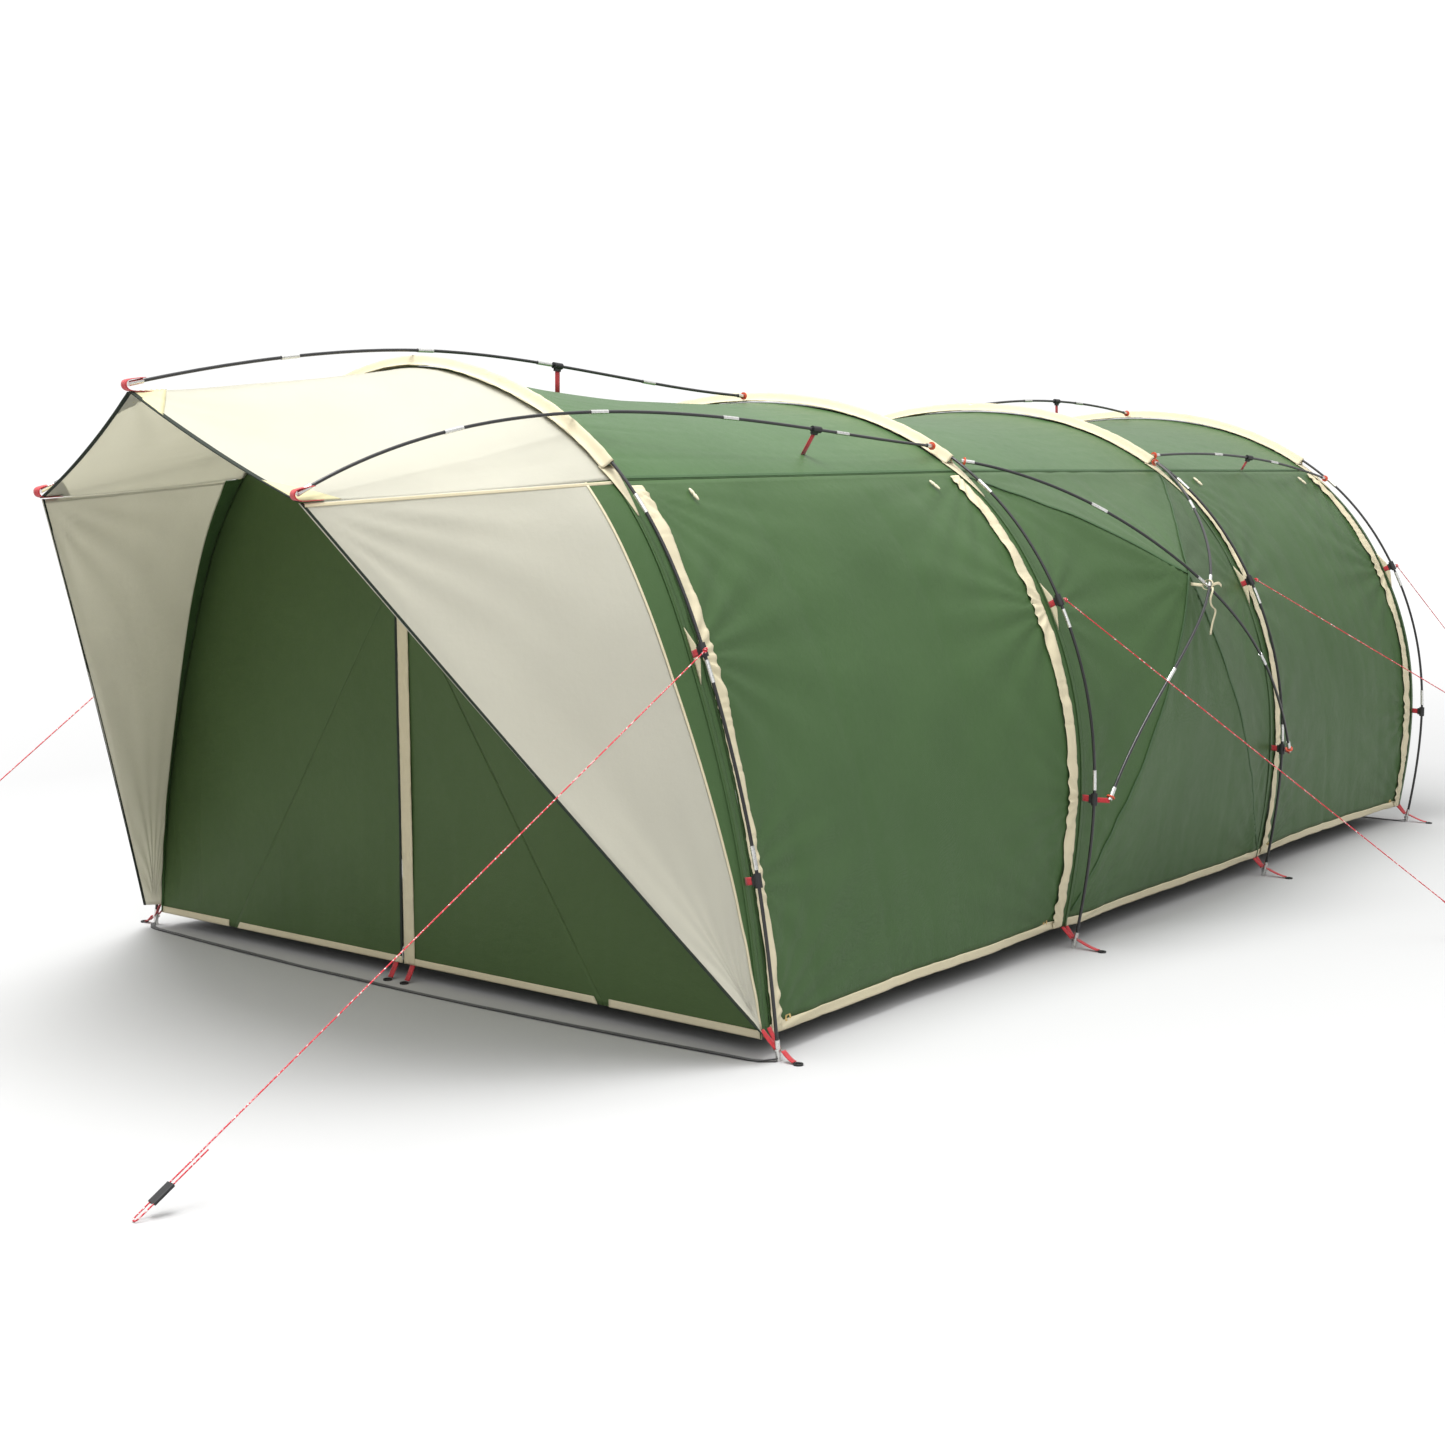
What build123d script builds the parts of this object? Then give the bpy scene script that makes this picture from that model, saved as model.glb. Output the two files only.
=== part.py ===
from build123d import *
import os
from math import asin, degrees, pi, sin

# A tunnel tent on four arch poles, with a porch canopy at its front end.
# Millimetres. X is across the tent, Y runs from the porch (-Y) to the rear (+Y), Z is up.
# The origin is on the ground, at the middle of the tent's length and width.

# Driving dimensions
FOOT_X = 1450.0            # half the width between the two feet of an arch
ARCH_Y = (-1980.0, -203.0, 1461.0, 3160.0)
FRONT_LEAN = 62.0          # how far the front arch leans forward at its top
REAR_LEAN = 40.0
POLE_R = 5.5
TIP_R = 8.0
TIP_BORE_R = 6.7           # loose enough for the bend of the rod in it
FERRULE_R = 7.0
FERRULE_LENGTH = 70.0
SLEEVE_R = 16.0
PLATE_GAP = 1.0            # clearance between sheets that lie against each other
SECTION_GAP = 1.0
CLOTH = 4.0                # thickness of the plain cloth solids
INSET_TOP = 30.0           # cloth under the pole where the sleeve holds it
INSET_SIDE = 50.0          # cloth inside the pole where the clips hold it
SHOULDER = 0.324           # fraction of the arch's length at the shoulder seam
HEM_LEVEL = 0.012          # fraction of the arch's length at the walls' lower edge
ROPE_R = 2.0
ROPE_TURN = 8.0
SLIDER_TRAVEL = 100.0
HINGE_GAP = 9.0

# Half outlines of the arches, from the right foot to the top, as X and height
MAIN_ARCH = (
    (FOOT_X, 0), (1515, 350), (1533, 600), (1506, 900), (1395, 1235),
    (1197, 1537), (850, 1808), (450, 1957), (0, 2005),
)
FRONT_ARCH = (
    (FOOT_X, 0), (1426, 250), (1377, 570), (1300, 880), (1185, 1215),
    (1015, 1546), (770, 1805), (400, 1998), (0, 2075),
)


class Arch:
    """One arch of the tent, as a flat curve that may lean towards the porch."""

    def __init__(self, number, y, lean, half):
        self.number = number
        self.y = y
        self.height = half[-1][1]
        self.lean = lean
        left = [(-x, z) for x, z in reversed(half[:-1])]
        self.curve = Spline(*[self.lift(x, z) for x, z in list(half) + left])

    def lift(self, x, z):
        return Vector(x, self.y - self.lean * z / self.height, z)

    def at(self, u, inset=0.0):
        """A point on the arch at fraction u, moved towards the inside of the tent."""
        point = self.curve @ u
        along = self.curve % u
        size = (along.X ** 2 + along.Z ** 2) ** 0.5
        x = point.X - inset * along.Z / size
        z = point.Z + inset * along.X / size
        return self.lift(x, z)


ARCHES = [
    Arch(1, ARCH_Y[0], FRONT_LEAN, FRONT_ARCH),
    Arch(2, ARCH_Y[1], 0.0, MAIN_ARCH),
    Arch(3, ARCH_Y[2], 0.0, MAIN_ARCH),
    Arch(4, ARCH_Y[3], REAR_LEAN, MAIN_ARCH),
]


def save(name, solids):
    """Write one node; solids is one solid or a list of separate ones."""
    shapes = solids if isinstance(solids, list) else [solids]
    body = shapes[0] if len(shapes) == 1 else Compound(shapes)
    export_step(body, f"parts/{name}.step")


def flip(shape):
    """The same shape on the other side of the tent."""
    return mirror(shape, about=Plane.YZ)


def both(shape):
    return [shape, flip(shape)]


def rod(path, start, end, radius, bore=0.0):
    """A round rod or tube along part of a curve, between two distances from its start."""
    run = path.trim(start / path.length, end / path.length)
    plane = Plane(origin=run @ 0, z_dir=run % 0)
    face = plane * Circle(radius)
    if bore:
        face -= plane * Circle(bore)
    return sweep(face, path=run)


def pole(path, sections, tip_length):
    """Rods with a small gap at each joint, and the metal ferrules over the joints."""
    first, last = tip_length * 0.5, path.length - tip_length * 0.5
    step = (last - first) / sections
    rods = []
    ferrules = []
    for number in range(sections):
        begin = first + number * step
        rods.append(rod(path, begin, begin + step - SECTION_GAP, POLE_R))
        if number:
            low = begin - FERRULE_LENGTH / 2
            ferrules.append(rod(path, low, low + FERRULE_LENGTH, FERRULE_R, POLE_R + 0.3))
    return rods, ferrules


def tip(path, at_end, length):
    """A metal end cap over one end of a pole; the rod reaches half of the way into it."""
    place = 1.0 if at_end else 0.0
    direction = (path % place) * (1.0 if at_end else -1.0)
    plane = Plane(origin=(path @ place) - direction * length * 0.5, z_dir=direction)
    outer = plane * Cylinder(TIP_R, length * 0.5, align=(Align.CENTER, Align.CENTER, Align.MIN))
    back = Plane(origin=(path @ place) - direction * length, z_dir=direction)
    skirt = back * Cylinder(TIP_R, length * 0.5, align=(Align.CENTER, Align.CENTER, Align.MIN))
    hole = back * Cylinder(TIP_BORE_R, length * 0.5 + 0.6, align=(Align.CENTER, Align.CENTER, Align.MIN))
    return (outer + skirt) - hole


def cloth(rows, steps):
    """A closed cloth solid lofted through rows; each row gives its outer and inner points."""
    wires = []
    for row in rows:
        outer = [row(i / steps, 0.0) for i in range(steps + 1)]
        inner = [row(i / steps, CLOTH) for i in range(steps + 1)]
        edges = [
            Spline(*outer),
            Line(outer[-1], inner[-1]),
            Spline(*reversed(inner)),
            Line(inner[0], outer[0]),
        ]
        wires.append(Wire(edges))
    return Solid.make_loft(wires, False)


def inset_at(u):
    """How far the cloth lies inside the pole: close under the sleeve, further at the clips."""
    side = min(u, 1 - u)
    if side > SHOULDER:
        return INSET_TOP
    return INSET_TOP + (INSET_SIDE - INSET_TOP) * min(1.0, (SHOULDER - side) / 0.12)


def arch_row(arch, begin, end, shift_y, extra=0.0):
    def row(t, depth):
        u = begin + (end - begin) * t
        return arch.at(u, inset_at(u) + extra + depth) + Vector(0, shift_y, 0)
    return row


def between(first, second, share, begin, end, bulge):
    """A row part of the way from one arch to the next; bulge(t) is how far it sinks in."""
    def row(t, depth):
        u = begin + (end - begin) * t
        inset = inset_at(u) + bulge(t) + depth
        return first.at(u, inset) * (1 - share) + second.at(u, inset) * share
    return row


def bay_panel(first, second, begin, end, bulge, edge=2.0):
    """Cloth from one arch to the next, sinking in between them."""
    return cloth(
        [
            arch_row(first, begin, end, edge),
            between(first, second, 0.5, begin, end, bulge),
            arch_row(second, begin, end, -edge),
        ],
        6,
    )


# Poles of the arches
ARCH_SECTIONS = 10
FOOT_TIP = 60.0


def arch_poles():
    ferrules = []
    feet = []
    for arch in ARCHES:
        rods, joints = pole(arch.curve, ARCH_SECTIONS, FOOT_TIP)
        save(f"arch_pole_{arch.number}", rods)
        ferrules += joints
        feet += [foot_tip(arch, 0.0), foot_tip(arch, 1.0)]
    save("pole_foot_tips", feet)
    return ferrules


def foot_tip(arch, u):
    """The turned metal foot of an arch pole, with a collar that the webbing hooks on."""
    side = 1 if u == 0.0 else -1
    foot = Vector(side * FOOT_X, arch.y, 0)
    up = (arch.curve % u) * side
    low = Cylinder(TIP_R, 26, align=(Align.CENTER, Align.CENTER, Align.MIN))
    base = Pos(foot) * low
    plane = Plane(origin=foot, z_dir=up)
    skirt = plane * Cylinder(TIP_R, FOOT_TIP, align=(Align.CENTER, Align.CENTER, Align.MIN))
    collar = plane.offset(30) * Cylinder(13, 4, align=(Align.CENTER, Align.CENTER, Align.MIN))
    hole = plane.offset(FOOT_TIP * 0.5 - 1) * Cylinder(
        TIP_BORE_R, FOOT_TIP, align=(Align.CENTER, Align.CENTER, Align.MIN)
    )
    body = base + skirt + collar - hole
    floor = Pos(foot.X, foot.Y, -50) * Box(200, 200, 100)
    return body - floor


# Poles that run along the tent; the right ones are mirrored to the left
PORCH_TOP = Vector(0, -3158, 1955)
PORCH_SIDE = Vector(600, -3045, 1642)
CROSSING = Vector(1574, (ARCH_Y[1] + ARCH_Y[2]) / 2, 1265)
OVER_SLEEVE = 27.0         # a pole's axis above the arch pole that it passes over
BESIDE_SLEEVE = 30.0


def cross_route(first, last, way, out):
    """A side pole from one arch's shoulder down to the next arch's lower clip."""
    start = first.at(0.328, -2) + Vector(0, way * BESIDE_SLEEVE, 0)
    end = last.at(LOWER_CLIP, -45) - Vector(0, way * BESIDE_SLEEVE, 0)
    middle = CROSSING + Vector(out, 0, 0)
    return (
        start,
        Vector(1345, start.Y + way * 420, 1550),
        middle,
        Vector(1622, end.Y - way * 330, 905),
        end,
    )


def brace_routes():
    """The route of each pole that runs along the tent, by name."""
    front, second, third, rear = ARCHES
    back = Vector(0, BESIDE_SLEEVE, 0)
    over_front = front.at(0.37, -OVER_SLEEVE)
    over_top = front.at(0.5, -OVER_SLEEVE)
    return {
        "porch_pole_middle": (
            PORCH_TOP, Vector(0, front.y - 430, 2076), over_top,
            Vector(0, front.y + 640, 2078), second.at(0.5, 4) - back,
        ),
        "porch_pole_right": (
            PORCH_SIDE, over_front, Vector(830, front.y + 760, 1868),
            second.at(0.345, -4) - back,
        ),
        "rear_pole_middle": (
            third.at(0.5, 4) + back, Vector(0, third.y + 760, 2046),
            rear.at(0.5, 4) - back,
        ),
        "rear_pole_right": (
            third.at(0.336, -4) + back, Vector(1004, third.y + 780, 1768),
            rear.at(0.305, -4) - back,
        ),
        "side_cross_pole_front_right": cross_route(second, third, 1, 0),
        "side_cross_pole_back_right": cross_route(third, second, -1, 15),
    }


BRACE_SECTIONS = {"porch": 5, "rear": 3, "side": 4}
BRACE_TIP = 50.0
RING_BACK = 12.0


def end_ring(path, at_end):
    """The eyelet ring that a pole's end sits in."""
    place = 1.0 if at_end else 0.0
    direction = (path % place) * (1.0 if at_end else -1.0)
    plane = Plane(origin=(path @ place) - direction * RING_BACK, z_dir=direction)
    return plane * (Cylinder(15, 5) - Cylinder(TIP_R + 0.6, 5))


def brace_poles():
    ferrules, tips, rings = [], [], []
    for name, route in brace_routes().items():
        path = Spline(*route)
        rods, joints = pole(path, BRACE_SECTIONS[name.split("_")[0]], BRACE_TIP)
        ends = [tip(path, False, BRACE_TIP), tip(path, True, BRACE_TIP)]
        eyes = [end_ring(path, True)]
        if not name.startswith("porch"):
            eyes.append(end_ring(path, False))
        save(name, rods)
        if name.endswith("right"):
            save(name.replace("right", "left"), [flip(r) for r in rods])
            joints += [flip(j) for j in joints]
            ends += [flip(e) for e in ends]
            eyes += [flip(e) for e in eyes]
        ferrules += joints
        tips += ends
        rings += eyes
    save("pole_end_tips", tips)
    save("pole_end_rings", rings)
    return ferrules


# Sleeves, clips and webbing that hold the cloth to the poles
SLEEVE_BEGIN = 0.332
UPPER_CLIP = 0.215
LOWER_CLIP = 0.0925
CLIP_R = 11.5
CLIP_LUG = 14.0
WEB_WIDTH = 24.0


def sleeves():
    for arch in ARCHES:
        total = arch.curve.length
        begin = total * SLEEVE_BEGIN
        tube = rod(arch.curve, begin, total - begin, SLEEVE_R, POLE_R + 2.5)
        save(f"arch_sleeve_{arch.number}", tube)


def clip(curve, u, out):
    """A plastic hook clip round a pole, with a lug that its webbing is sewn to."""
    plane = Plane(origin=curve @ u, z_dir=curve % u, x_dir=out)
    barrel = plane * Cylinder(CLIP_R, 42)
    lug = plane * Pos(-CLIP_LUG / 2 - 6, 0, 0) * Box(CLIP_LUG, 9, 30)
    hole = plane * Cylinder(POLE_R + 0.5, 80)
    return barrel + lug - hole


def web(curve, u, out, length):
    """Webbing from a clip's lug towards the cloth."""
    start = (curve @ u) - out * (CLIP_LUG + 8.5)
    plane = Plane(origin=start - out * length / 2, x_dir=out, z_dir=(curve % u).cross(out))
    return plane * Box(length, WEB_WIDTH, 3)


def outward(arch, u):
    return (arch.at(u) - arch.at(u, 100)).normalized()


def where_y(curve, y):
    """The fraction of a curve's length at which it reaches y, for a curve that runs along Y."""
    low, high = 0.0, 1.0
    rising = (curve @ 1).Y > (curve @ 0).Y
    for _ in range(30):
        middle = (low + high) / 2
        if ((curve @ middle).Y < y) == rising:
            low = middle
        else:
            high = middle
    return low


def clips_and_webs():
    clips, webs, tabs = [], [], []
    for arch in ARCHES:
        for u in (UPPER_CLIP, LOWER_CLIP):
            out = outward(arch, u)
            clips += both(clip(arch.curve, u, out))
            webs += both(web(arch.curve, u, out, INSET_SIDE - CLIP_LUG - 10))
        top = arch.at(SLEEVE_BEGIN - 0.005, 22)
        along = arch.at(SLEEVE_BEGIN - 0.03, 26) - top
        plane = Plane(origin=top, x_dir=along, z_dir=outward(arch, SLEEVE_BEGIN))
        outline = Polyline((0, -32), (along.length, 0), (0, 32), close=True)
        tabs += both(plane * extrude(make_face(outline), 2.5))
    routes = brace_routes()
    up = Vector(0, 0, 1)
    side = Vector(0.55, 0, 0.84).normalized()
    places = (
        ("porch_pole_middle", ARCH_Y[0] + 640, up, 70),
        ("porch_pole_right", ARCH_Y[0] + 1021, side, 60),
        ("rear_pole_middle", ARCH_Y[2] + 860, up, 45),
        ("rear_pole_right", ARCH_Y[2] + 860, side, 22),
    )
    for name, y, out, length in places:
        path = Spline(*routes[name])
        u = where_y(path, y)
        pieces = clip(path, u, out), web(path, u, out, length)
        clips += both(pieces[0]) if name.endswith("right") else [pieces[0]]
        webs += both(pieces[1]) if name.endswith("right") else [pieces[1]]
    save("pole_clips", clips)
    save("sleeve_end_tabs", tabs)
    return webs


def cross_ties():
    """The ribbon that pulls the middle of each side wall out to the crossing poles."""
    ribbon = Pos(CROSSING.X - 33, CROSSING.Y, CROSSING.Z) * Box(40, 3, 18)
    save("cross_pole_ties", both(ribbon))


# What pegs the feet to the ground
RING_BORE_R = 9.0
RING_OUT = (70.0, 112.0, 112.0, 112.0)   # clear of the widest part of the pole above


def ground_fittings():
    rings, loops = [], []
    for arch, out in zip(ARCHES, RING_OUT):
        ring = Pos(FOOT_X + out, arch.y, 2.5) * (Cylinder(15, 5) - Cylinder(RING_BORE_R, 5))
        length = out - 40
        tilt = degrees(asin(14 / length))
        loop = Pos(FOOT_X + (out + 6) / 2, arch.y, 18) * Rot(0, tilt, 0) * Box(length, WEB_WIDTH, 3)
        rings += both(ring)
        loops += both(loop)
    for x in (ZIP_X - 40, ZIP_X + 40):
        rings.append(
            Pos(x, ARCH_Y[0] - 46, 2.5) * (Cylinder(15, 5) - Cylinder(RING_BORE_R, 5))
        )
        loops.append(Pos(x, ARCH_Y[0] - 20, 24) * Rot(45, 0, 0) * Box(WEB_WIDTH, 34, 3))
    save("peg_rings", rings)
    return loops


STRAP_WIDTH = 22.0
FRONT_BOW = -70.0
REAR_BOW = 4.0


def foot_strap(y, bow):
    """A flat strap on the ground from one foot to the other, its middle moved along Y by bow."""
    end = FOOT_X - 18
    near = ThreePointArc((-end, y), (0, y + bow), (end, y))
    far = ThreePointArc(
        (end, y + STRAP_WIDTH), (0, y + bow + STRAP_WIDTH), (-end, y + STRAP_WIDTH)
    )
    outline = Wire([near, Line(near @ 1, far @ 0), far, Line(far @ 1, near @ 0)])
    return Pos(0, 0, 0.5) * extrude(make_face(outline), 2.5)


# Cloth of the bays
ROOF_SAG = 45.0
WALL_SAG = 40.0
DOOR_EDGE = 76.0           # from the arch to the door
FLAP_EDGE = 36.0           # from the arch to the door's zip flap, clear of the sleeve's end
TIE_PULL = 215.0           # how far the crossing poles pull the middle wall out
TIE_PLACE = 0.66


def roof_sag(t):
    return ROOF_SAG * sin(pi * t)


def wall_sag(t):
    return WALL_SAG * sin(pi * t)


def tied_wall(t):
    pull = max(0.0, 1 - abs(t - TIE_PLACE) / (1 - TIE_PLACE))
    return wall_sag(t) - TIE_PULL * pull


def edge_strips(begin, end):
    """Strips of cloth beside the first two arches, between two distances from each of them."""
    seam = SHOULDER - HINGE_GAP / ARCHES[1].curve.length
    strips = []
    for arch, way in ((ARCHES[0], 1), (ARCHES[1], -1)):
        rows = [arch_row(arch, HEM_LEVEL, seam, way * place) for place in (begin, end)]
        strips.append(cloth(rows, 6))
    return strips


def bays():
    seam = SHOULDER - HINGE_GAP / ARCHES[1].curve.length
    for number in (1, 2, 3):
        first, second = ARCHES[number - 1], ARCHES[number]
        roof = [bay_panel(first, second, SHOULDER, 1 - SHOULDER, roof_sag)]
        if number == 1:
            bands = edge_strips(5.0, FLAP_EDGE - PLATE_GAP)
            roof += bands + [flip(band) for band in bands]
        save(f"bay_{number}_roof", roof)
        if number > 1:
            sag = tied_wall if number == 2 else wall_sag
            wall = bay_panel(first, second, HEM_LEVEL, seam, sag)
            save(f"bay_{number}_wall_right", wall)
            save(f"bay_{number}_wall_left", flip(wall))
    first, second = ARCHES[0], ARCHES[1]
    door = bay_panel(first, second, HEM_LEVEL, seam, wall_sag, DOOR_EDGE)
    save("side_door_right", door)
    save("side_door_left", flip(door))
    flaps = edge_strips(FLAP_EDGE, DOOR_EDGE - PLATE_GAP)
    save("side_door_flaps_right", flaps)
    save("side_door_flaps_left", [flip(f) for f in flaps])
    toggles = []
    for share in (0.14, 0.88):
        place = between(first, second, share, 0.0, 1.0, lambda t: -12.0)
        middle = place(SHOULDER - 0.008, 0.0)
        low = place(SHOULDER - 0.012, 0.0)
        plane = Plane(origin=middle, z_dir=low - middle)
        toggles.append(plane * Cylinder(5, 44))
    save("door_toggles_right", toggles)
    save("door_toggles_left", [flip(t) for t in toggles])


def end_plate(arch, inset, shift):
    """A flat sheet that fills an arch, four millimetres thick along Y."""
    steps = 12
    begin = HEM_LEVEL
    places = [begin + (1 - 2 * begin) * i / steps for i in range(steps + 1)]
    edge = Spline(*[arch.at(u, inset) for u in places])
    outline = Wire([edge, Line(edge @ 1, edge @ 0)])
    return Pos(0, shift, 0) * extrude(make_face(outline), CLOTH, dir=(0, 1, 0))


# The porch end: wall, door leaves, zip, canopy and its wings
ZIP_X = -100.0
ZIP_GAP = 7.0
ZIP_LOW = 62.0
ZIP_HIGH = 1360.0
LEAF_WIDTH = 880.0
WALL_SHIFT = -6.0


def leaf_corners(way):
    """Corners of a door leaf: zip foot, zip top and outer foot."""
    inner = ZIP_X + way * ZIP_GAP
    return ((inner, ZIP_LOW), (inner, ZIP_HIGH), (ZIP_X + way * LEAF_WIDTH, ZIP_LOW))


def front_sheet(corners, thick, shift):
    """A flat sheet in the leaning plane of the front arch."""
    arch = ARCHES[0]
    outline = Polyline(*[arch.lift(x, z) for x, z in corners], close=True)
    return Pos(0, shift, 0) * extrude(make_face(outline), thick, dir=(0, 1, 0))


def porch_wall():
    wall = end_plate(ARCHES[0], INSET_SIDE, WALL_SHIFT)
    opening = []
    for way, side in ((1, "right"), (-1, "left")):
        save(f"front_door_leaf_{side}", front_sheet(leaf_corners(way), CLOTH, WALL_SHIFT))
        slope = (LEAF_WIDTH - ZIP_GAP) / (ZIP_HIGH - ZIP_LOW)
        top = (ZIP_X + way * (ZIP_GAP + HINGE_GAP), ZIP_HIGH + HINGE_GAP)
        low = (top[0] + way * slope * 1500, top[1] - 1500)
        opening += [top, low] if way > 0 else [low, top]
    wall -= front_sheet(opening, 3 * CLOTH, WALL_SHIFT - CLOTH)
    save("front_wall", wall)
    near, far = ZIP_X + ZIP_GAP + 2, ZIP_X + ZIP_GAP + 52
    flap = [(near, ZIP_LOW), (far, ZIP_LOW), (far, ZIP_HIGH - 90), (near, ZIP_HIGH - 20)]
    save("front_zip_flap", front_sheet(flap, 3, WALL_SHIFT - PLATE_GAP - 3))
    slider = Box(10, 9, 22) + Pos(0, -7, -16) * Box(5, 2.5, 34) + Pos(0, -5, 2) * Box(5, 4, 8)
    arch = ARCHES[0]
    place = arch.lift(ZIP_X, ZIP_LOW + 40) + Vector(0, WALL_SHIFT + CLOTH / 2, 0)
    save("front_zip_slider", Pos(place) * slider)


CANOPY_SHIFT = -12.0
EDGE_SAG = 0.05


def canopy_edge(t, depth):
    """The canopy's front edge from the right corner over the top to the left one."""
    s = abs(1 - 2 * t)
    rise = PORCH_TOP - PORCH_SIDE
    rise = Vector(0, rise.Y, rise.Z)
    height = (1 - s) - EDGE_SAG * 4 * s * (1 - s)
    x = PORCH_SIDE.X * (1 - 2 * t)
    base = Vector(x, PORCH_SIDE.Y, PORCH_SIDE.Z - 24)
    return base + rise * height - rise.normalized() * depth


def porch_canopy():
    arch = ARCHES[0]
    roof = cloth(
        [canopy_edge, arch_row(arch, SHOULDER, 1 - SHOULDER, CANOPY_SHIFT)], 6
    )
    save("porch_canopy", roof)
    foot = Vector(FOOT_X - 8, arch.y - 46, 120)
    corner = PORCH_SIDE + Vector(-8, 12, -50)
    inward = Vector(-0.86, 0.22, -0.3).normalized()

    def front_edge(t, depth):
        return foot * (1 - t) + corner * t + inward * depth

    wing = cloth([front_edge, arch_row(arch, 0.022, SHOULDER - 0.003, CANOPY_SHIFT)], 6)
    save("porch_wing_right", wing)
    save("porch_wing_left", flip(wing))


# Guy ropes: name, arch, side and where each one meets the ground
ROPES = (
    ("front_right", 0, 1, (1046, -3900)),
    ("front_left", 0, -1, (-1046, -3900)),
    ("second_right", 1, 1, (2580, 840)),
    ("third_right", 2, 1, (2950, 2920)),
    ("rear_right", 3, 1, (2030, 4040)),
)
ROPE_OUT = 18.0            # from the arch pole's axis to the start of its rope
SLIDER_BACK = 75.0
SLIDER = (60.0, 28.0, 9.0)
ROPE_TAIL = 215.0


def rope_frame(index, side, ground):
    """Start, end and the sideways direction of a rope, with its turn near the ground."""
    arch = ARCHES[index]
    start = arch.at(UPPER_CLIP, -ROPE_OUT)
    start = Vector(side * start.X, start.Y, start.Z)
    end = Vector(ground[0], ground[1], ROPE_R + 6.5)
    along = (end - start).normalized()
    sideways = Vector(0, 0, 1).cross(along).normalized() * side
    return start, end, along, sideways


def guy_ropes():
    for name, index, side, ground in ROPES:
        start, end, along, sideways = rope_frame(index, side, ground)
        back = end + sideways * (2 * ROPE_TURN)
        turn = ThreePointArc(end, end + sideways * ROPE_TURN + along * ROPE_TURN, back)
        tail = back - along * ROPE_TAIL
        route = Wire([Line(start, end), turn, Line(back, tail)])
        face = Plane(origin=start, z_dir=along) * Circle(ROPE_R)
        save(f"guy_rope_{name}", sweep(face, path=route))
        centre = end - along * SLIDER_BACK + sideways * ROPE_TURN
        plane = Plane(origin=centre, x_dir=sideways, z_dir=along)
        block = plane * fillet(Box(SLIDER[1], SLIDER[2], SLIDER[0]).edges().filter_by(Axis.Z), 3)
        for x in (-ROPE_TURN, ROPE_TURN):
            block -= plane * Pos(x, 0, 0) * Cylinder(ROPE_R + 0.6, SLIDER[0] * 2)
        save(f"rope_slider_{name}", block)


def main():
    os.makedirs("parts", exist_ok=True)
    ferrules = arch_poles()
    ferrules += brace_poles()
    save("pole_ferrules", ferrules)
    sleeves()
    webs = clips_and_webs()
    webs += ground_fittings()
    save("red_webbing", webs)
    cross_ties()
    straps = [foot_strap(ARCH_Y[0] - 52, FRONT_BOW), foot_strap(ARCH_Y[3] - 34, REAR_BOW)]
    save("foot_straps", straps)
    bays()
    save("rear_wall", end_plate(ARCHES[3], INSET_SIDE, 2))
    porch_wall()
    porch_canopy()
    guy_ropes()


main()
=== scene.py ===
from math import pi, radians, sin

import bmesh
import bpy
import numpy as np
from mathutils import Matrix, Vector


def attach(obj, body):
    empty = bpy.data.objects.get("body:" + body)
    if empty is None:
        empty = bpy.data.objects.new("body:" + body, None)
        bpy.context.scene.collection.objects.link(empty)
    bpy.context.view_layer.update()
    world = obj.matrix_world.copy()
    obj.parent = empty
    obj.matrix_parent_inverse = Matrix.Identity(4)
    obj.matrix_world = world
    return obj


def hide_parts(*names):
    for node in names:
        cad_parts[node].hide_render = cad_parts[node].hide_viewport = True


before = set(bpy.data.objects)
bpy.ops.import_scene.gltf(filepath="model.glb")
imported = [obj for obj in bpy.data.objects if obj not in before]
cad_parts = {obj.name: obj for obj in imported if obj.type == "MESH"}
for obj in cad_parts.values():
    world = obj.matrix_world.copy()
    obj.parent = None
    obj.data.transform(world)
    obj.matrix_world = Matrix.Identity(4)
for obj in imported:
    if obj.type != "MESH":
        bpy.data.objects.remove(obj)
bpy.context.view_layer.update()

# Main sizes in metres; the arches repeat the poles' outlines
FOOT_X = 1.45
RING_OUT = (0.07, 0.112, 0.112, 0.112)
ARCH_Y = (-1.98, -0.203, 1.461, 3.16)
LEANS = (0.062, 0.0, 0.0, 0.04)
MAIN_ARCH = (
    (FOOT_X, 0), (1.515, 0.35), (1.533, 0.6), (1.506, 0.9), (1.395, 1.235),
    (1.197, 1.537), (0.85, 1.808), (0.45, 1.957), (0, 2.005),
)
FRONT_ARCH = (
    (FOOT_X, 0), (1.426, 0.25), (1.377, 0.57), (1.3, 0.88), (1.185, 1.215),
    (1.015, 1.546), (0.77, 1.805), (0.4, 1.998), (0, 2.075),
)
INSET_TOP = 0.03
INSET_SIDE = 0.05
SHOULDER = 0.324
HEM_LEVEL = 0.011
SLEEVE_BEGIN = 0.332
UPPER_CLIP = 0.215
LOWER_CLIP = 0.0925
HEM_HEIGHT = 0.017         # share of a wall's height that its hem takes
HEM_LIFT = 0.0015
HEM_THICK = 0.0022
ROOF_LAP = 0.0008          # share of an arch by which a roof passes the shoulder seam
WALL_GAP = 0.0012          # share of an arch by which a wall ends below it
FLAP_WIDTH = 0.05
CLOTH = 0.0008
PORCH_TOP = np.array((0, -3.158, 1.955))
PORCH_SIDE = np.array((0.6, -3.045, 1.642))
CROSSING = np.array((1.574, (ARCH_Y[1] + ARCH_Y[2]) / 2, 1.265))
ZIP_X = -0.1
ZIP_LOW = 0.055
ZIP_HIGH = 1.36
LEAF_WIDTH = 0.88
FINE = 1.0


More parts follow.
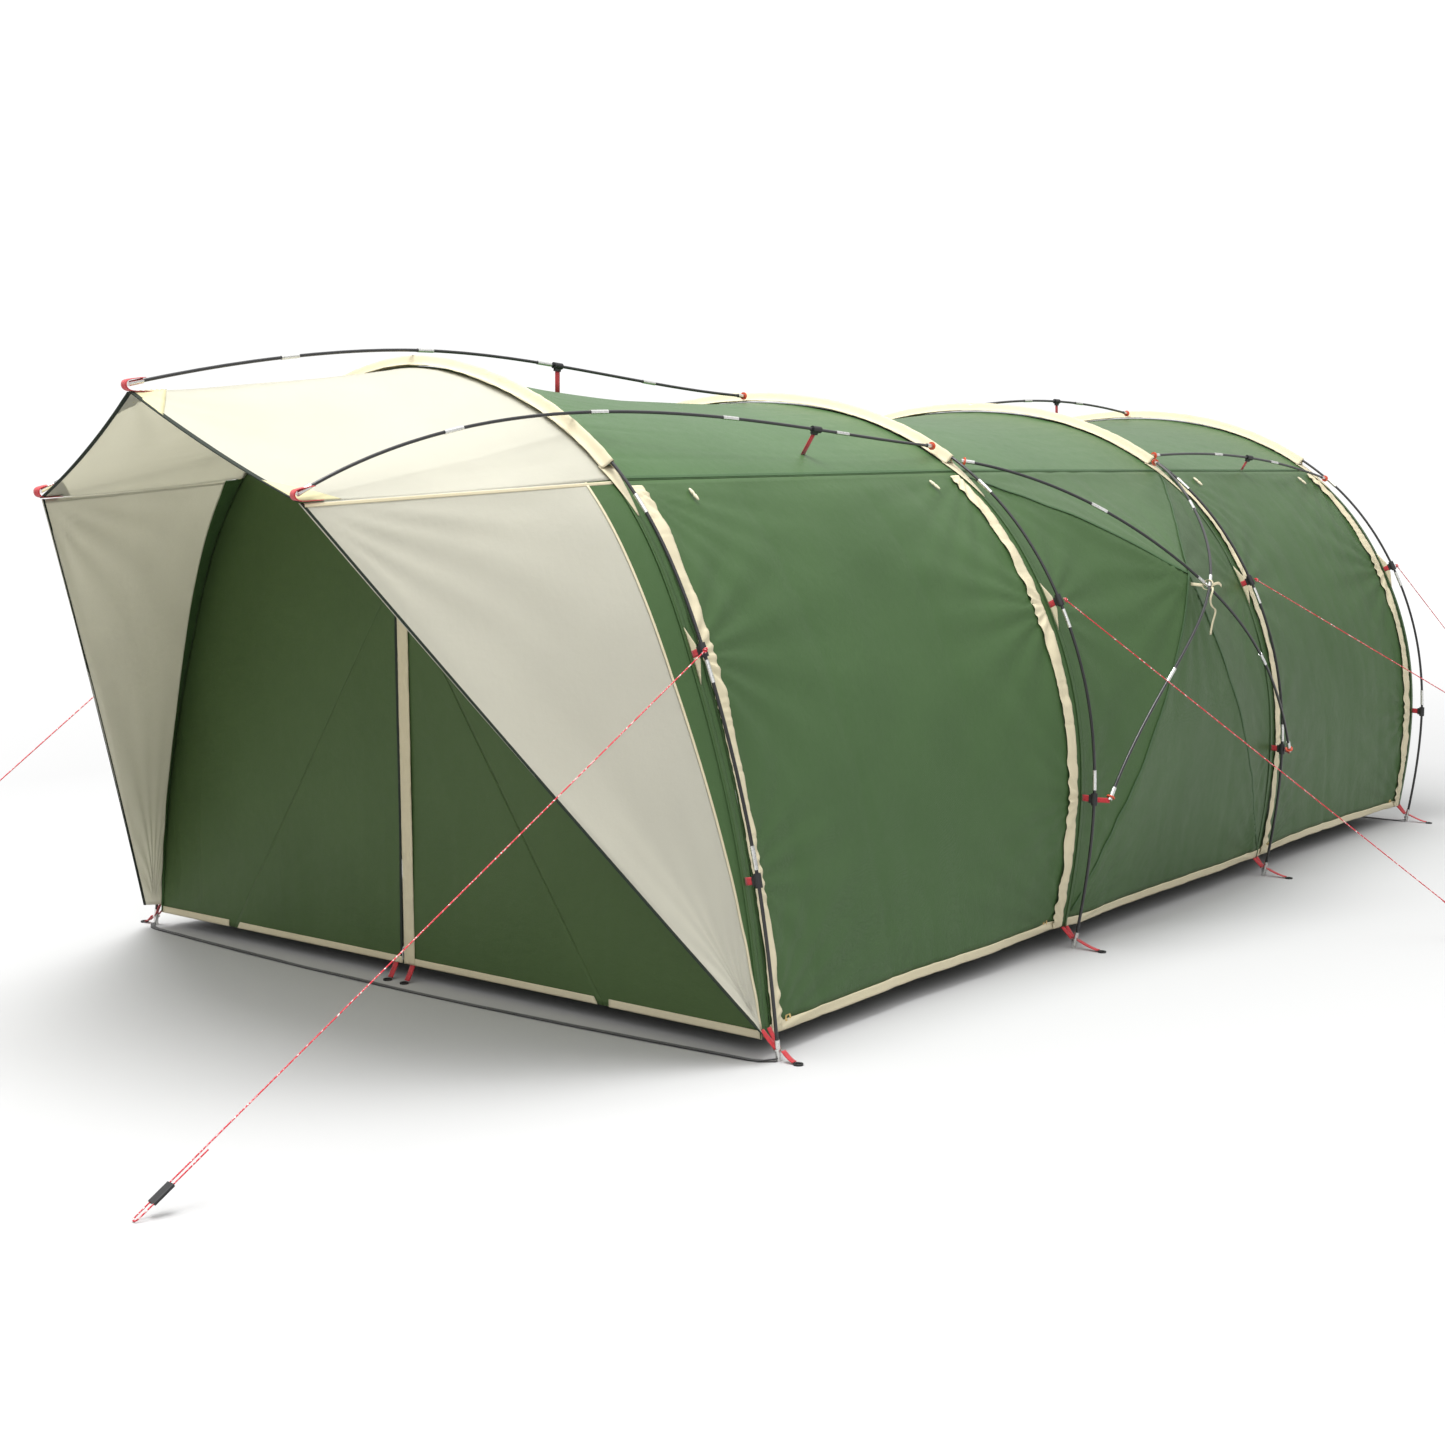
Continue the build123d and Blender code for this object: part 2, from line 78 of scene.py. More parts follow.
# ---------------------------------------------------------------- curves
class Spline:
    """A smooth curve through points, read by its share of the whole length."""

    def __init__(self, points):
        points = np.array(points, float)
        knots = np.r_[0, np.cumsum(np.linalg.norm(np.diff(points, axis=0), axis=1))]
        count = len(points)
        system = np.zeros((count, count))
        right = np.zeros((count, points.shape[1]))
        steps = np.diff(knots)
        system[0, 0] = system[-1, -1] = 1
        for i in range(1, count - 1):
            system[i, i - 1] = steps[i - 1]
            system[i, i] = 2 * (steps[i - 1] + steps[i])
            system[i, i + 1] = steps[i]
            slope = (points[i + 1] - points[i]) / steps[i]
            right[i] = 6 * (slope - (points[i] - points[i - 1]) / steps[i - 1])
        bend = np.linalg.solve(system, right)
        fine = np.linspace(0, knots[-1], 1200)
        k = np.clip(np.searchsorted(knots, fine, side="right") - 1, 0, count - 2)
        h = steps[k][:, None]
        a = (knots[k + 1] - fine)[:, None] / h
        b = 1 - a
        self.points = (
            a * points[k] + b * points[k + 1]
            + ((a ** 3 - a) * bend[k] + (b ** 3 - b) * bend[k + 1]) * h * h / 6
        )
        run = np.r_[0, np.cumsum(np.linalg.norm(np.diff(self.points, axis=0), axis=1))]
        self.length = run[-1]
        self.share = run / run[-1]

    def at(self, u):
        u = np.asarray(u, float)
        return np.stack([np.interp(u, self.share, c) for c in self.points.T], -1)

    def along(self, u):
        u = np.asarray(u, float)
        step = self.at(np.minimum(u + 0.004, 1)) - self.at(np.maximum(u - 0.004, 0))
        return step / np.linalg.norm(step, axis=-1, keepdims=True)


class Arch:
    def __init__(self, y, lean, half):
        self.y, self.lean, self.top = y, lean, half[-1][1]
        outline = list(half) + [(-x, z) for x, z in reversed(half[:-1])]
        self.curve = Spline(outline)
        self.length = self.curve.length

    def lift(self, x, z):
        return np.stack([x, self.y - self.lean * z / self.top, z], -1)

    def at(self, u, inset=0.0):
        place = self.curve.at(u)
        along = self.curve.along(u)
        x = place[..., 0] - inset * along[..., 1]
        z = place[..., 1] + inset * along[..., 0]
        return self.lift(x, z)

    def inward(self, u):
        along = self.curve.along(u)
        return np.stack([-along[..., 1], 0 * along[..., 0], along[..., 0]], -1)


ARCHES = [
    Arch(y, lean, FRONT_ARCH if i == 0 else MAIN_ARCH)
    for i, (y, lean) in enumerate(zip(ARCH_Y, LEANS))
]


# ---------------------------------------------------------------- noise
def hash_grid(ix, iy, seed):
    n = (ix * 374761393 + iy * 668265263 + seed * 974634777) & 0xFFFFFFFF
    n = ((n ^ (n >> 13)) * 1274126177) & 0xFFFFFFFF
    return ((n ^ (n >> 16)) & 0xFFFF) / 65535.0 * 2 - 1


def noise(x, y, seed):
    """Smooth noise from -1 to 1 over a plane."""
    ix, iy = np.floor(x).astype(np.int64), np.floor(y).astype(np.int64)
    fx, fy = x - ix, y - iy
    fx, fy = fx * fx * (3 - 2 * fx), fy * fy * (3 - 2 * fy)
    low = hash_grid(ix, iy, seed) * (1 - fx) + hash_grid(ix + 1, iy, seed) * fx
    high = hash_grid(ix, iy + 1, seed) * (1 - fx) + hash_grid(ix + 1, iy + 1, seed) * fx
    return low * (1 - fy) + high * fy


def creases(x, y, seed):
    """Sharp-crested folds, the way taut cloth wrinkles."""
    return 1 - 2 * np.abs(noise(x, y, seed)) ** 0.7


def smooth(x):
    x = np.clip(x, 0, 1)
    return x * x * (3 - 2 * x)


# ---------------------------------------------------------------- meshes
def put(name, data):
    """A new object in the scene."""
    piece = bpy.data.objects.new(name, data)
    bpy.context.scene.collection.objects.link(piece)
    return piece


def mesh_object(name, verts, faces, material, smooth_faces=True):
    mesh = bpy.data.meshes.new(name)
    mesh.from_pydata([tuple(map(float, v)) for v in verts], [], faces)
    mesh.validate()
    mesh.update()
    if smooth_faces:
        mesh.polygons.foreach_set("use_smooth", [True] * len(mesh.polygons))
    mesh.materials.append(material)
    return put(name, mesh)


def grid_faces(rows, cols, closed=False):
    faces = []
    for i in range(rows - 1):
        for j in range(cols if closed else cols - 1):
            k = (j + 1) % cols
            faces.append((i * cols + j, i * cols + k, (i + 1) * cols + k, (i + 1) * cols + j))
    return faces


def thicken(piece, amount=CLOTH, offset=0.0):
    solid = piece.modifiers.new("thickness", "SOLIDIFY")
    solid.thickness = amount
    solid.offset = offset
    return piece


def note_area(piece):
    """Keep the cloth's area from before it gets a thickness."""
    piece["flat_area"] = float(sum(p.area for p in piece.data.polygons))
    return piece


def surface(name, place, nu, nv, material, span=(0, 1, 0, 1), lift=0.0, thick=CLOTH):
    """Cloth from place(s, t, lift), as a grid over the given span of s and t."""
    nu, nv = max(2, int(nu * FINE)), max(2, int(nv * FINE))
    s, t = np.meshgrid(
        np.linspace(span[0], span[1], nu), np.linspace(span[2], span[3], nv), indexing="ij"
    )
    points = place(s.ravel(), t.ravel(), lift)
    piece = mesh_object(name, points, grid_faces(nu, nv), material)
    weld(piece)
    return thicken(note_area(piece), thick)


def weld(piece, distance=0.0002):
    bm = bmesh.new()
    bm.from_mesh(piece.data)
    bmesh.ops.remove_doubles(bm, verts=bm.verts, dist=distance)
    bmesh.ops.dissolve_degenerate(bm, edges=bm.edges, dist=distance / 4)
    bm.to_mesh(piece.data)
    bm.free()


def ribbon(name, centre, across, width, material, thick=0.0014, taper=None):
    """Webbing along centre points; across is the direction of its width at each point."""
    centre, across = np.array(centre, float), np.array(across, float)
    if across.ndim == 1:
        across = np.repeat(across[None], len(centre), 0)
    across = across / np.linalg.norm(across, axis=1, keepdims=True)
    scale = np.ones(len(centre)) if taper is None else np.array(taper)
    cols = np.linspace(-0.5, 0.5, 5)
    verts = [c + a * width * w * k for c, a, k in zip(centre, across, scale) for w in cols]
    piece = mesh_object(name, verts, grid_faces(len(centre), len(cols)), material)
    return thicken(piece, thick)


def tube(name, centre, radius, material, sides=10):
    centre = np.array(centre, float)
    along = np.gradient(centre, axis=0)
    along /= np.linalg.norm(along, axis=1, keepdims=True)
    side = np.cross(along, (0.13, 0.21, 0.97))
    side /= np.linalg.norm(side, axis=1, keepdims=True)
    up = np.cross(side, along)
    turn = np.linspace(0, 2 * pi, sides, endpoint=False)
    verts = [c + radius * (np.cos(a) * x + np.sin(a) * y)
             for c, x, y in zip(centre, side, up) for a in turn]
    faces = grid_faces(len(centre), sides, closed=True)
    faces.append(tuple(range(sides))[::-1])
    faces.append(tuple(range((len(centre) - 1) * sides, len(centre) * sides)))
    return mesh_object(name, verts, faces, material)


def join(name, pieces):
    """Several small pieces of one kind as one object, with their thickness applied."""
    verts, faces, count, material = [], [], 0, pieces[0].data.materials[0]
    graph = bpy.context.evaluated_depsgraph_get()
    for piece in pieces:
        mesh = bpy.data.meshes.new_from_object(piece.evaluated_get(graph), depsgraph=graph)
        verts += [v.co.copy() for v in mesh.vertices]
        faces += [tuple(v + count for v in p.vertices) for p in mesh.polygons]
        count = len(verts)
        bpy.data.objects.remove(piece)
    return mesh_object(name, verts, faces, material)


# ---------------------------------------------------------------- materials
def nodes_of(name):
    material = bpy.data.materials.new(name)
    material.use_nodes = True
    tree = material.node_tree
    shader = next(n for n in tree.nodes if n.type == "BSDF_PRINCIPLED")
    return material, tree, shader


def feed(tree, node, inputs):
    """Set a node's inputs, each from another node's output or to a plain value."""
    for key, value in inputs.items():
        if isinstance(value, bpy.types.NodeSocket):
            tree.links.new(value, node.inputs[key])
        else:
            node.inputs[key].default_value = value
    return node


def add(tree, kind, inputs=None, **settings):
    node = tree.nodes.new(kind)
    for key, value in settings.items():
        setattr(node, key, value)
    return feed(tree, node, inputs or {})


def object_coords(tree):
    return add(tree, "ShaderNodeTexCoord").outputs["Object"]


def ramp(tree, source, stops):
    node = add(tree, "ShaderNodeValToRGB", {"Fac": source})
    while len(node.color_ramp.elements) < len(stops):
        node.color_ramp.elements.new(0.5)
    for element, (place, colour) in zip(node.color_ramp.elements, stops):
        element.position = place
        element.color = (*colour, 1)
    return node.outputs["Color"]


def noise_node(tree, vector, scale, detail, rough=0.55):
    inputs = {"Vector": vector, "Scale": scale, "Detail": detail, "Roughness": rough}
    return add(tree, "ShaderNodeTexNoise", inputs).outputs["Fac"]


def map_range(tree, value, low, high, start=0.0, stop=1.0):
    inputs = {"Value": value, "From Min": start, "From Max": stop, "To Min": low, "To Max": high}
    return add(tree, "ShaderNodeMapRange", inputs).outputs[0]


def bump(tree, height, strength, distance, **under):
    inputs = {"Height": height, "Strength": strength, "Distance": distance, **under}
    return add(tree, "ShaderNodeBump", inputs).outputs["Normal"]


def weave(tree, pitch, depth):
    """A plain weave as bump: two crossed sets of threads."""
    inputs = {"Vector": object_coords(tree), "Scale": pi / (10 * pitch), "Distortion": 0.4,
              "Detail": 1.0}
    waves = [add(tree, "ShaderNodeTexWave", inputs, bands_direction=axis) for axis in ("X", "Z")]
    heights = {index: wave.outputs["Fac"] for index, wave in enumerate(waves)}
    top = add(tree, "ShaderNodeMath", heights, operation="MAXIMUM")
    return bump(tree, top.outputs[0], depth, 0.0006)


def cloth_material(name, dark, light, rough, through):
    """Coated tent cloth: soft colour change, fine crumple over a weave, some light through it."""
    material, tree, shader = nodes_of(name)
    vector = object_coords(tree)
    colour = ramp(tree, noise_node(tree, vector, 1.3, 3.0), ((0.32, dark), (0.68, light)))
    fine = noise_node(tree, vector, 26.0, 5.0, 0.62)
    feed(tree, shader, {
        "Base Color": colour, "Sheen Weight": 0.02, "Sheen Roughness": 0.45,
        "Specular IOR Level": 0.28, "Roughness": map_range(tree, fine, rough - 0.08, rough + 0.1),
        "Normal": bump(tree, fine, 0.5, 0.004, Normal=weave(tree, 0.0011, 0.35)),
    })
    glow = add(tree, "ShaderNodeBsdfTranslucent", {"Color": colour})
    mix = add(tree, "ShaderNodeMixShader", {"Fac": through, 1: shader.outputs[0], 2: glow.outputs[0]})
    out = next(n for n in tree.nodes if n.type == "OUTPUT_MATERIAL")
    feed(tree, out, {"Surface": mix.outputs[0]})
    return material


def solid_material(name, dark, light, rough, metal, scale, relief, coat=0.0):
    material, tree, shader = nodes_of(name)
    grain = noise_node(tree, object_coords(tree), scale, 5.0)
    feed(tree, shader, {
        "Base Color": ramp(tree, grain, ((0.35, dark), (0.7, light))), "Metallic": metal,
        "Coat Weight": coat, "Normal": bump(tree, grain, relief, 0.0004),
        "Roughness": map_range(tree, grain, rough * 0.8, min(1.0, rough * 1.25)),
    })
    return material


def webbing_material(name, dark, light):
    material, tree, shader = nodes_of(name)
    grain = noise_node(tree, object_coords(tree), 220.0, 2.0)
    feed(tree, shader, {
        "Base Color": ramp(tree, grain, ((0.3, dark), (0.7, light))), "Roughness": 0.75,
        "Sheen Weight": 0.3, "Normal": weave(tree, 0.0022, 0.8),
    })
    return material


def rope_material():
    """Braided red cord with light flecks."""
    material, tree, shader = nodes_of("guy_rope_braid")
    cells = add(tree, "ShaderNodeTexVoronoi", {"Vector": object_coords(tree), "Scale": 260.0})
    colour = ramp(tree, cells.outputs["Color"], (
        (0.0, (0.42, 0.01, 0.02)), (0.62, (0.62, 0.03, 0.05)), (0.72, (0.85, 0.8, 0.76)),
        (0.8, (0.6, 0.03, 0.05)),
    ))
    feed(tree, shader, {
        "Base Color": colour, "Roughness": 0.7,
        "Normal": bump(tree, cells.outputs["Distance"], 0.7, 0.0008),
    })
    return material


GREEN = cloth_material("green_cloth", (0.05, 0.104, 0.033), (0.06, 0.122, 0.04), 0.42, 0.08)
ROOF_GREEN = cloth_material("roof_cloth", (0.062, 0.13, 0.045), (0.074, 0.15, 0.054), 0.36, 0.1)
WALL_GREEN = cloth_material("porch_wall_cloth", (0.062, 0.108, 0.034), (0.074, 0.126, 0.042), 0.5, 0.1)
BEIGE = cloth_material("beige_cloth", (0.66, 0.59, 0.4), (0.74, 0.67, 0.48), 0.6, 0.12)
CANOPY = cloth_material("canopy_cloth", (0.7, 0.685, 0.595), (0.76, 0.745, 0.65), 0.45, 0.5)
PATCH = cloth_material("corner_patch_cloth", (0.62, 0.58, 0.34), (0.7, 0.65, 0.4), 0.55, 0.1)
BINDING = cloth_material("edge_binding", (0.012, 0.02, 0.014), (0.022, 0.03, 0.02), 0.7, 0.0)
SEAM = cloth_material("seam_tape", (0.04, 0.09, 0.032), (0.05, 0.11, 0.04), 0.55, 0.0)
RED = webbing_material("red_webbing", (0.38, 0.008, 0.014), (0.55, 0.02, 0.03))
BLACK_WEB = webbing_material("black_webbing", (0.008, 0.008, 0.009), (0.02, 0.02, 0.022))
ROD = solid_material("glass_fibre_rod", (0.006, 0.006, 0.007), (0.016, 0.016, 0.018), 0.3, 0, 300,
                     0.15, 0.3)
STEEL = solid_material("ferrule_metal", (0.62, 0.62, 0.6), (0.8, 0.8, 0.78), 0.28, 1.0, 160, 0.1)
PLASTIC = solid_material("clip_plastic", (0.01, 0.01, 0.011), (0.02, 0.02, 0.021), 0.5, 0, 500, 0.35)
RING = solid_material("ring_enamel", (0.5, 0.05, 0.02), (0.62, 0.09, 0.03), 0.45, 0, 200, 0.2)
BRASS = solid_material("eyelet_brass", (0.6, 0.42, 0.16), (0.78, 0.58, 0.26), 0.3, 1.0, 220, 0.15)
TOGGLE = solid_material("toggle_plastic", (0.6, 0.54, 0.38), (0.7, 0.64, 0.48), 0.5, 0, 240, 0.2)
THREAD = solid_material("stitch_thread", (0.5, 0.46, 0.36), (0.62, 0.57, 0.45), 0.8, 0, 600, 0.3)
ROPE = rope_material()

CAD_MATERIALS = {
    "arch_pole": ROD, "porch_pole": ROD, "rear_pole": ROD, "side_cross": ROD,
    "pole_ferrules": STEEL, "pole_foot_tips": STEEL, "pole_end_tips": STEEL,
    "pole_clips": PLASTIC, "peg_rings": PLASTIC, "pole_end_rings": RING,
    "rope_slider": PLASTIC, "front_zip_slider": STEEL,
}


def dress_cad_nodes():
    for name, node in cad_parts.items():
        for start, material in CAD_MATERIALS.items():
            if name.startswith(start):
                for index in range(len(node.material_slots)):
                    node.material_slots[index].material = material


# ---------------------------------------------------------------- cloth panels
def inset_at(u):
    side = np.minimum(u, 1 - u)
    share = np.clip((SHOULDER - side) / 0.12, 0, 1)
    return INSET_TOP + (INSET_SIDE - INSET_TOP) * share


class Panel:
    """Cloth between two arches: s runs from the first to the second, t along the arch."""

    def __init__(self, number, begin, end, sag, folds, mirrored=False):
        self.first, self.second = ARCHES[number - 1], ARCHES[number]
        self.number, self.begin, self.end = number, begin, end
        self.sag, self.folds, self.mirrored = sag, folds, mirrored
        self.span = self.second.y - self.first.y

    def __call__(self, s, t, lift=0.0):
        s, t = np.asarray(s, float), np.asarray(t, float)
        u = self.begin + (self.end - self.begin) * t
        share = s[..., None]
        edge = 0.002 / self.span
        share = edge + share * (1 - 2 * edge)
        depth = self.sag(s, t) + self.folds(s, t) - lift
        inset = inset_at(u)
        base = self.first.at(u, inset) * (1 - share) + self.second.at(u, inset) * share
        inward = self.first.inward(u) * (1 - share) + self.second.inward(u) * share
        inward /= np.linalg.norm(inward, axis=-1, keepdims=True)
        place = base + inward * np.asarray(depth)[..., None]
        if self.mirrored:
            place = place * np.array((-1, 1, 1))
        return place


def roof_sag(s, t):
    across = 4 * s * (1 - s)
    return 0.048 * across * np.sin(pi * t) ** 0.8


def roof_folds(seed):
    def folds(s, t):
        near = 0.25 + 0.75 * np.abs(1 - 2 * s) ** 1.5
        fine = creases(t * 46, s * 1.6, seed) * near
        broad = noise(t * 9, s * 3, seed + 1)
        slant = creases(t * 13 + s * 5, s * 3, seed + 2) * smooth(1 - np.abs(t - 0.5) * 1.2)
        edge = smooth(np.minimum(s, 1 - s) * 25) * smooth(np.minimum(t, 1 - t) * 30)
        return (0.0016 * fine + 0.0035 * broad + 0.0016 * slant) * edge
    return folds


def fan(s, t, s0, t0, height, width, count, reach, seed):
    """Folds that spread out from a point where the cloth is pulled."""
    x, y = (s - s0) * width, (t - t0) * height
    far = np.hypot(x, y)
    angle = np.arctan2(y, x)
    fold = np.cos(angle * count + 1.7 * noise(angle * 2 + seed, far * 2, seed))
    return fold * np.exp(-far / reach) * smooth(far / 0.1)


def wall_folds(seed, height=1.85, width=1.75):
    clip_t = (UPPER_CLIP - HEM_LEVEL) / (SHOULDER - HEM_LEVEL)
    low_t = (LOWER_CLIP - HEM_LEVEL) / (SHOULDER - HEM_LEVEL)

    def folds(s, t):
        total = 0
        for s0 in (0.0, 1.0):
            total = total + 0.0055 * fan(s, t, s0, clip_t, height, width, 15, 0.42, seed)
            total = total + 0.0045 * fan(s, t, s0, low_t, height, width, 15, 0.36, seed + 1)
            total = total + 0.005 * fan(s, t, s0, 0.0, height, width, 24, 0.45, seed + 2)
            total = total + 0.005 * fan(s, t, s0, 1.0, height, width, 24, 0.4, seed + 3)
        broad = 0.008 * noise(s * 3, t * 3.2, seed + 4) + 0.003 * noise(s * 9, t * 7, seed + 5)
        upright = 0.003 * creases(s * 14 + t * 1.5, t * 1.4, seed + 6)
        edge = smooth(np.minimum(s, 1 - s) * 22) * smooth((1 - t) * 22)
        return (total + broad + upright) * edge
    return folds


def wall_sag(s, t):
    return 0.042 * 4 * s * (1 - s) * np.sin(pi * np.clip(t, 0, 1)) ** 0.8 \
        + 0.012 * 4 * s * (1 - s) * (1 - t)


TIE_T = 0.66


def tied_sag(s, t):
    """The wall between the crossing poles: a low pyramid pulled out at its tie."""
    across = np.abs(s - 0.5) / 0.5
    up = np.where(t > TIE_T, (t - TIE_T) / (1 - TIE_T), (TIE_T - t) / TIE_T)
    height = 1 - np.clip(np.maximum(across, up), 0, 1)
    rest = 0.03 * 4 * s * (1 - s) * np.sin(pi * t)
    return rest - 0.2 * height ** 1.35


def tied_folds(seed):
    plain = wall_folds(seed)

    def folds(s, t):
        pull = 0.004 * fan(s, t, 0.5, TIE_T, 1.85, 1.66, 18, 0.5, seed + 9)
        return plain(s, t) * 0.75 + pull
    return folds


def crinkle(place, seed, depth=0.004):
    """A gathered strip, crossed by short folds that puff it up."""
    def puffed(s, t, lift):
        folds = np.abs(noise(t * 62, s * 6, seed)) ** 0.6 * depth
        folds = folds + depth * 0.7 * noise(t * 23, s * 30, seed + 1)
        return place(s, t, lift + folds)
    return puffed


def side_name(mirrored):
    return "left" if mirrored else "right"


def seam_line(name, place, start, end, material, width=0.011, lift=0.0016, steps=60):
    """A flat felled seam that follows the cloth from one (s, t) to another."""
    k = np.linspace(0, 1, steps)
    s = start[0] + (end[0] - start[0]) * k
    t = start[1] + (end[1] - start[1]) * k
    centre = place(s, t, lift)
    out = place(s, t, lift + 0.01) - centre
    across = np.cross(np.gradient(centre, axis=0), out)
    return ribbon(name, centre, across, width, material, 0.0012)


def eyelet(name, place, s, t, radius=0.011):
    centre = place(np.array([s]), np.array([t]), 0.003)[0]
    out = place(np.array([s]), np.array([t]), 0.02)[0] - centre
    basis = Vector(out).to_track_quat("Z", "Y").to_matrix()
    verts, faces = [], []
    turns, rings = 28, 10
    for i in range(turns):
        a = 2 * pi * i / turns
        for j in range(rings):
            b = 2 * pi * j / rings
            r = radius + 0.0042 * np.cos(b)
            turned = Vector((r * np.cos(a), r * np.sin(a), 0.0018 * np.sin(b)))
            verts.append(Vector(centre) + basis @ turned)
    for i in range(turns):
        for j in range(rings):
            k, m = (i + 1) % turns, (j + 1) % rings
            faces.append((i * rings + j, k * rings + j, k * rings + m, i * rings + m))
    return mesh_object(name, verts, faces, BRASS)


def toggle(name, place, s, t):
    """A turned toggle on a short loop under the shoulder seam."""
    top = place(np.array([s]), np.array([t]), 0.006)[0]
    low = place(np.array([s]), np.array([t - 0.03]), 0.012)[0]
    k = np.linspace(0, 1, 16)
    centre = np.array([top + (low - top) * x for x in k])
    body = tube(name, centre, 0.006, TOGGLE, 12)
    for i, v in enumerate(body.data.vertices):
        ring = i // 12
        c = Vector(centre[ring])
        waist = 0.55 + 0.45 * sin(pi * ring / 15) if 0 < ring < 15 else 0.35
        waist *= 0.72 if ring in (7, 8) else 1.0
        v.co = c + (v.co - c) * waist
    return body


def dress(piece, body, node=None):
    """Say what the piece moves with and the CAD node it replaces."""
    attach(piece, body)
    if node:
        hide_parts(node)
    return piece


def roofs():
    for number in (1, 2, 3):
        panel = Panel(number, SHOULDER - ROOF_LAP, 1 - SHOULDER + ROOF_LAP, roof_sag,
                      roof_folds(10 * number))
        roof = surface(f"roof_cloth_{number}", panel, 64, 150, ROOF_GREEN)
        dress(roof, "tent", f"bay_{number}_roof")
        seams = [
            seam_line("s", panel, (0.01, t), (0.99, t), SEAM, 0.014, 0.0022)
            for t in (0.006, 0.994)
        ]
        welt = dress(join(f"shoulder_seams_{number}", seams), "tent")


def side_walls():
    for number, mirrored in ((n, m) for n in (1, 2, 3) for m in (False, True)):
        side = side_name(mirrored)
        seed = 100 * number + 7 * mirrored
        tied, is_door = number == 2, number == 1
        sag, folds = (tied_sag, tied_folds(seed)) if tied else (wall_sag, wall_folds(seed))
        panel = Panel(number, HEM_LEVEL, SHOULDER - WALL_GAP, sag, folds, mirrored)
        body, node, name = "tent", f"bay_{number}_wall_{side}", f"wall_cloth_{number}_{side}"
        if is_door:
            body = node = f"side_door_{side}"
            name = f"side_door_cloth_{side}"
        edge = 0.02 if is_door else 0.0
        wall = surface(name, panel, 90, 96, GREEN, (edge, 1 - edge, HEM_HEIGHT, 1))
        dress(wall, body, node)
        hem = surface(f"{name}_hem", panel, 90, 6, BEIGE, (edge, 1 - edge, 0, HEM_HEIGHT),
                      HEM_LIFT, HEM_THICK)
        trims = [dress(hem, body)]
        if tied:
            seams = [
                seam_line("x", panel, corner, (0.5, TIE_T), SEAM, 0.012, 0.002)
                for corner in ((0.01, 0.03), (0.99, 0.03), (0.01, 0.99), (0.99, 0.99))
            ]
            trims.append(dress(join(f"cross_seams_{side}", seams), body))
        else:
            trims += door_trims(name, body, panel, side if is_door else None, seed)
        if is_door:
            bands = [
                surface("b", panel, 6, 90, GREEN, span)
                for span in ((0.0, 0.019, 0.0, 1.0), (0.981, 1.0, 0.0, 1.0))
            ]
            dress(join(f"arch_bands_{side}", bands), "tent")


def door_trims(name, body, panel, door_side, seed):
    """Zip flaps, eyelets and toggles of a side door, or of the rear bay's fixed walls."""
    share = FLAP_WIDTH / panel.span
    begin = 0.0205
    soft = crinkle(panel, seed + 21)
    flaps = [
        surface("f", soft, 9, 230, BEIGE, (low, high, 0.004, 0.985), 0.0062, 0.0012)
        for low, high in ((begin, begin + share), (1 - begin - share, 1 - begin))
    ]
    flap = join(f"{name}_zip_flaps", flaps)
    dress(flap, body, door_side and f"side_door_flaps_{door_side}")
    rings = [eyelet("e", panel, s, 0.018) for s in (0.072, 0.925)]
    brass = dress(join(f"{name}_eyelets", rings), body)
    knobs = [toggle("t", panel, s, 0.975) for s in (0.16, 0.87)]
    turned = join(f"{name}_toggles", knobs)
    dress(turned, body, door_side and f"door_toggles_{door_side}")
    return [flap, brass, turned]


# ---------------------------------------------------------------- sleeves and webbing
def sleeve(number, arch):
    """A flat sleeve sewn over the pole, open at both ends, with a pointed tab at each."""
    count = int(190 * FINE)
    u = np.linspace(SLEEVE_BEGIN, 1 - SLEEVE_BEGIN, count)
    offsets = (0.08, 0.18, 0.3, 0.42, 0.6, 0.82, 1)
    offsets = np.array([-w for w in offsets[::-1]] + [0, *offsets])
    half = 0.032
    pole = 0.0105
    verts = []
    for x in u:
        ripple = noise(np.array(x * 150), np.array(number * 3.1), 5)
        for w in offsets:
            y = w * half * (1 + 0.04 * ripple)
            bump = pole * np.exp(-(y / 0.011) ** 2) - 0.0225 * (1 - np.exp(-(y / 0.0125) ** 2))
            bump += 0.0012 * noise(np.array(x * 240), np.array(w * 3), number + 40)
            place = arch.at(np.array(x), -bump)
            verts.append(place + np.array((0, y, 0)))
    top = mesh_object(f"sleeve_cloth_{number}", verts, grid_faces(count, len(offsets)), BEIGE)
    thicken(note_area(top), 0.001)
    dress(top, "tent", f"arch_sleeve_{number}")
    stitches = []
    for way in (-1, 1):
        line = [arch.at(np.array(x), 0.0212) + np.array((0, way * half * 0.9, 0)) for x in u[::2]]
        stitches.append(ribbon("st", line, (0, 1, 0), 0.0022, THREAD, 0.0012))
    thread = dress(join(f"sleeve_stitching_{number}", stitches), "tent")


def arch_tapes():
    """Narrow tapes that close the seams between the bays, under the poles."""
    tapes = []
    strips = (-0.002, 0.026), (0, 0.018), (0, 0.018), (-0.003, 0.02)
    for arch, (middle, width) in zip(ARCHES, strips):
        u = np.linspace(HEM_LEVEL, 1 - HEM_LEVEL, int(220 * FINE))
        line = arch.at(u, inset_at(u) - 0.0022) + np.array((0, middle, 0))
        tapes.append(ribbon("t", line, (0, 1, 0), width, GREEN, 0.0012))
    dress(join("arch_seam_tapes", tapes), "tent")


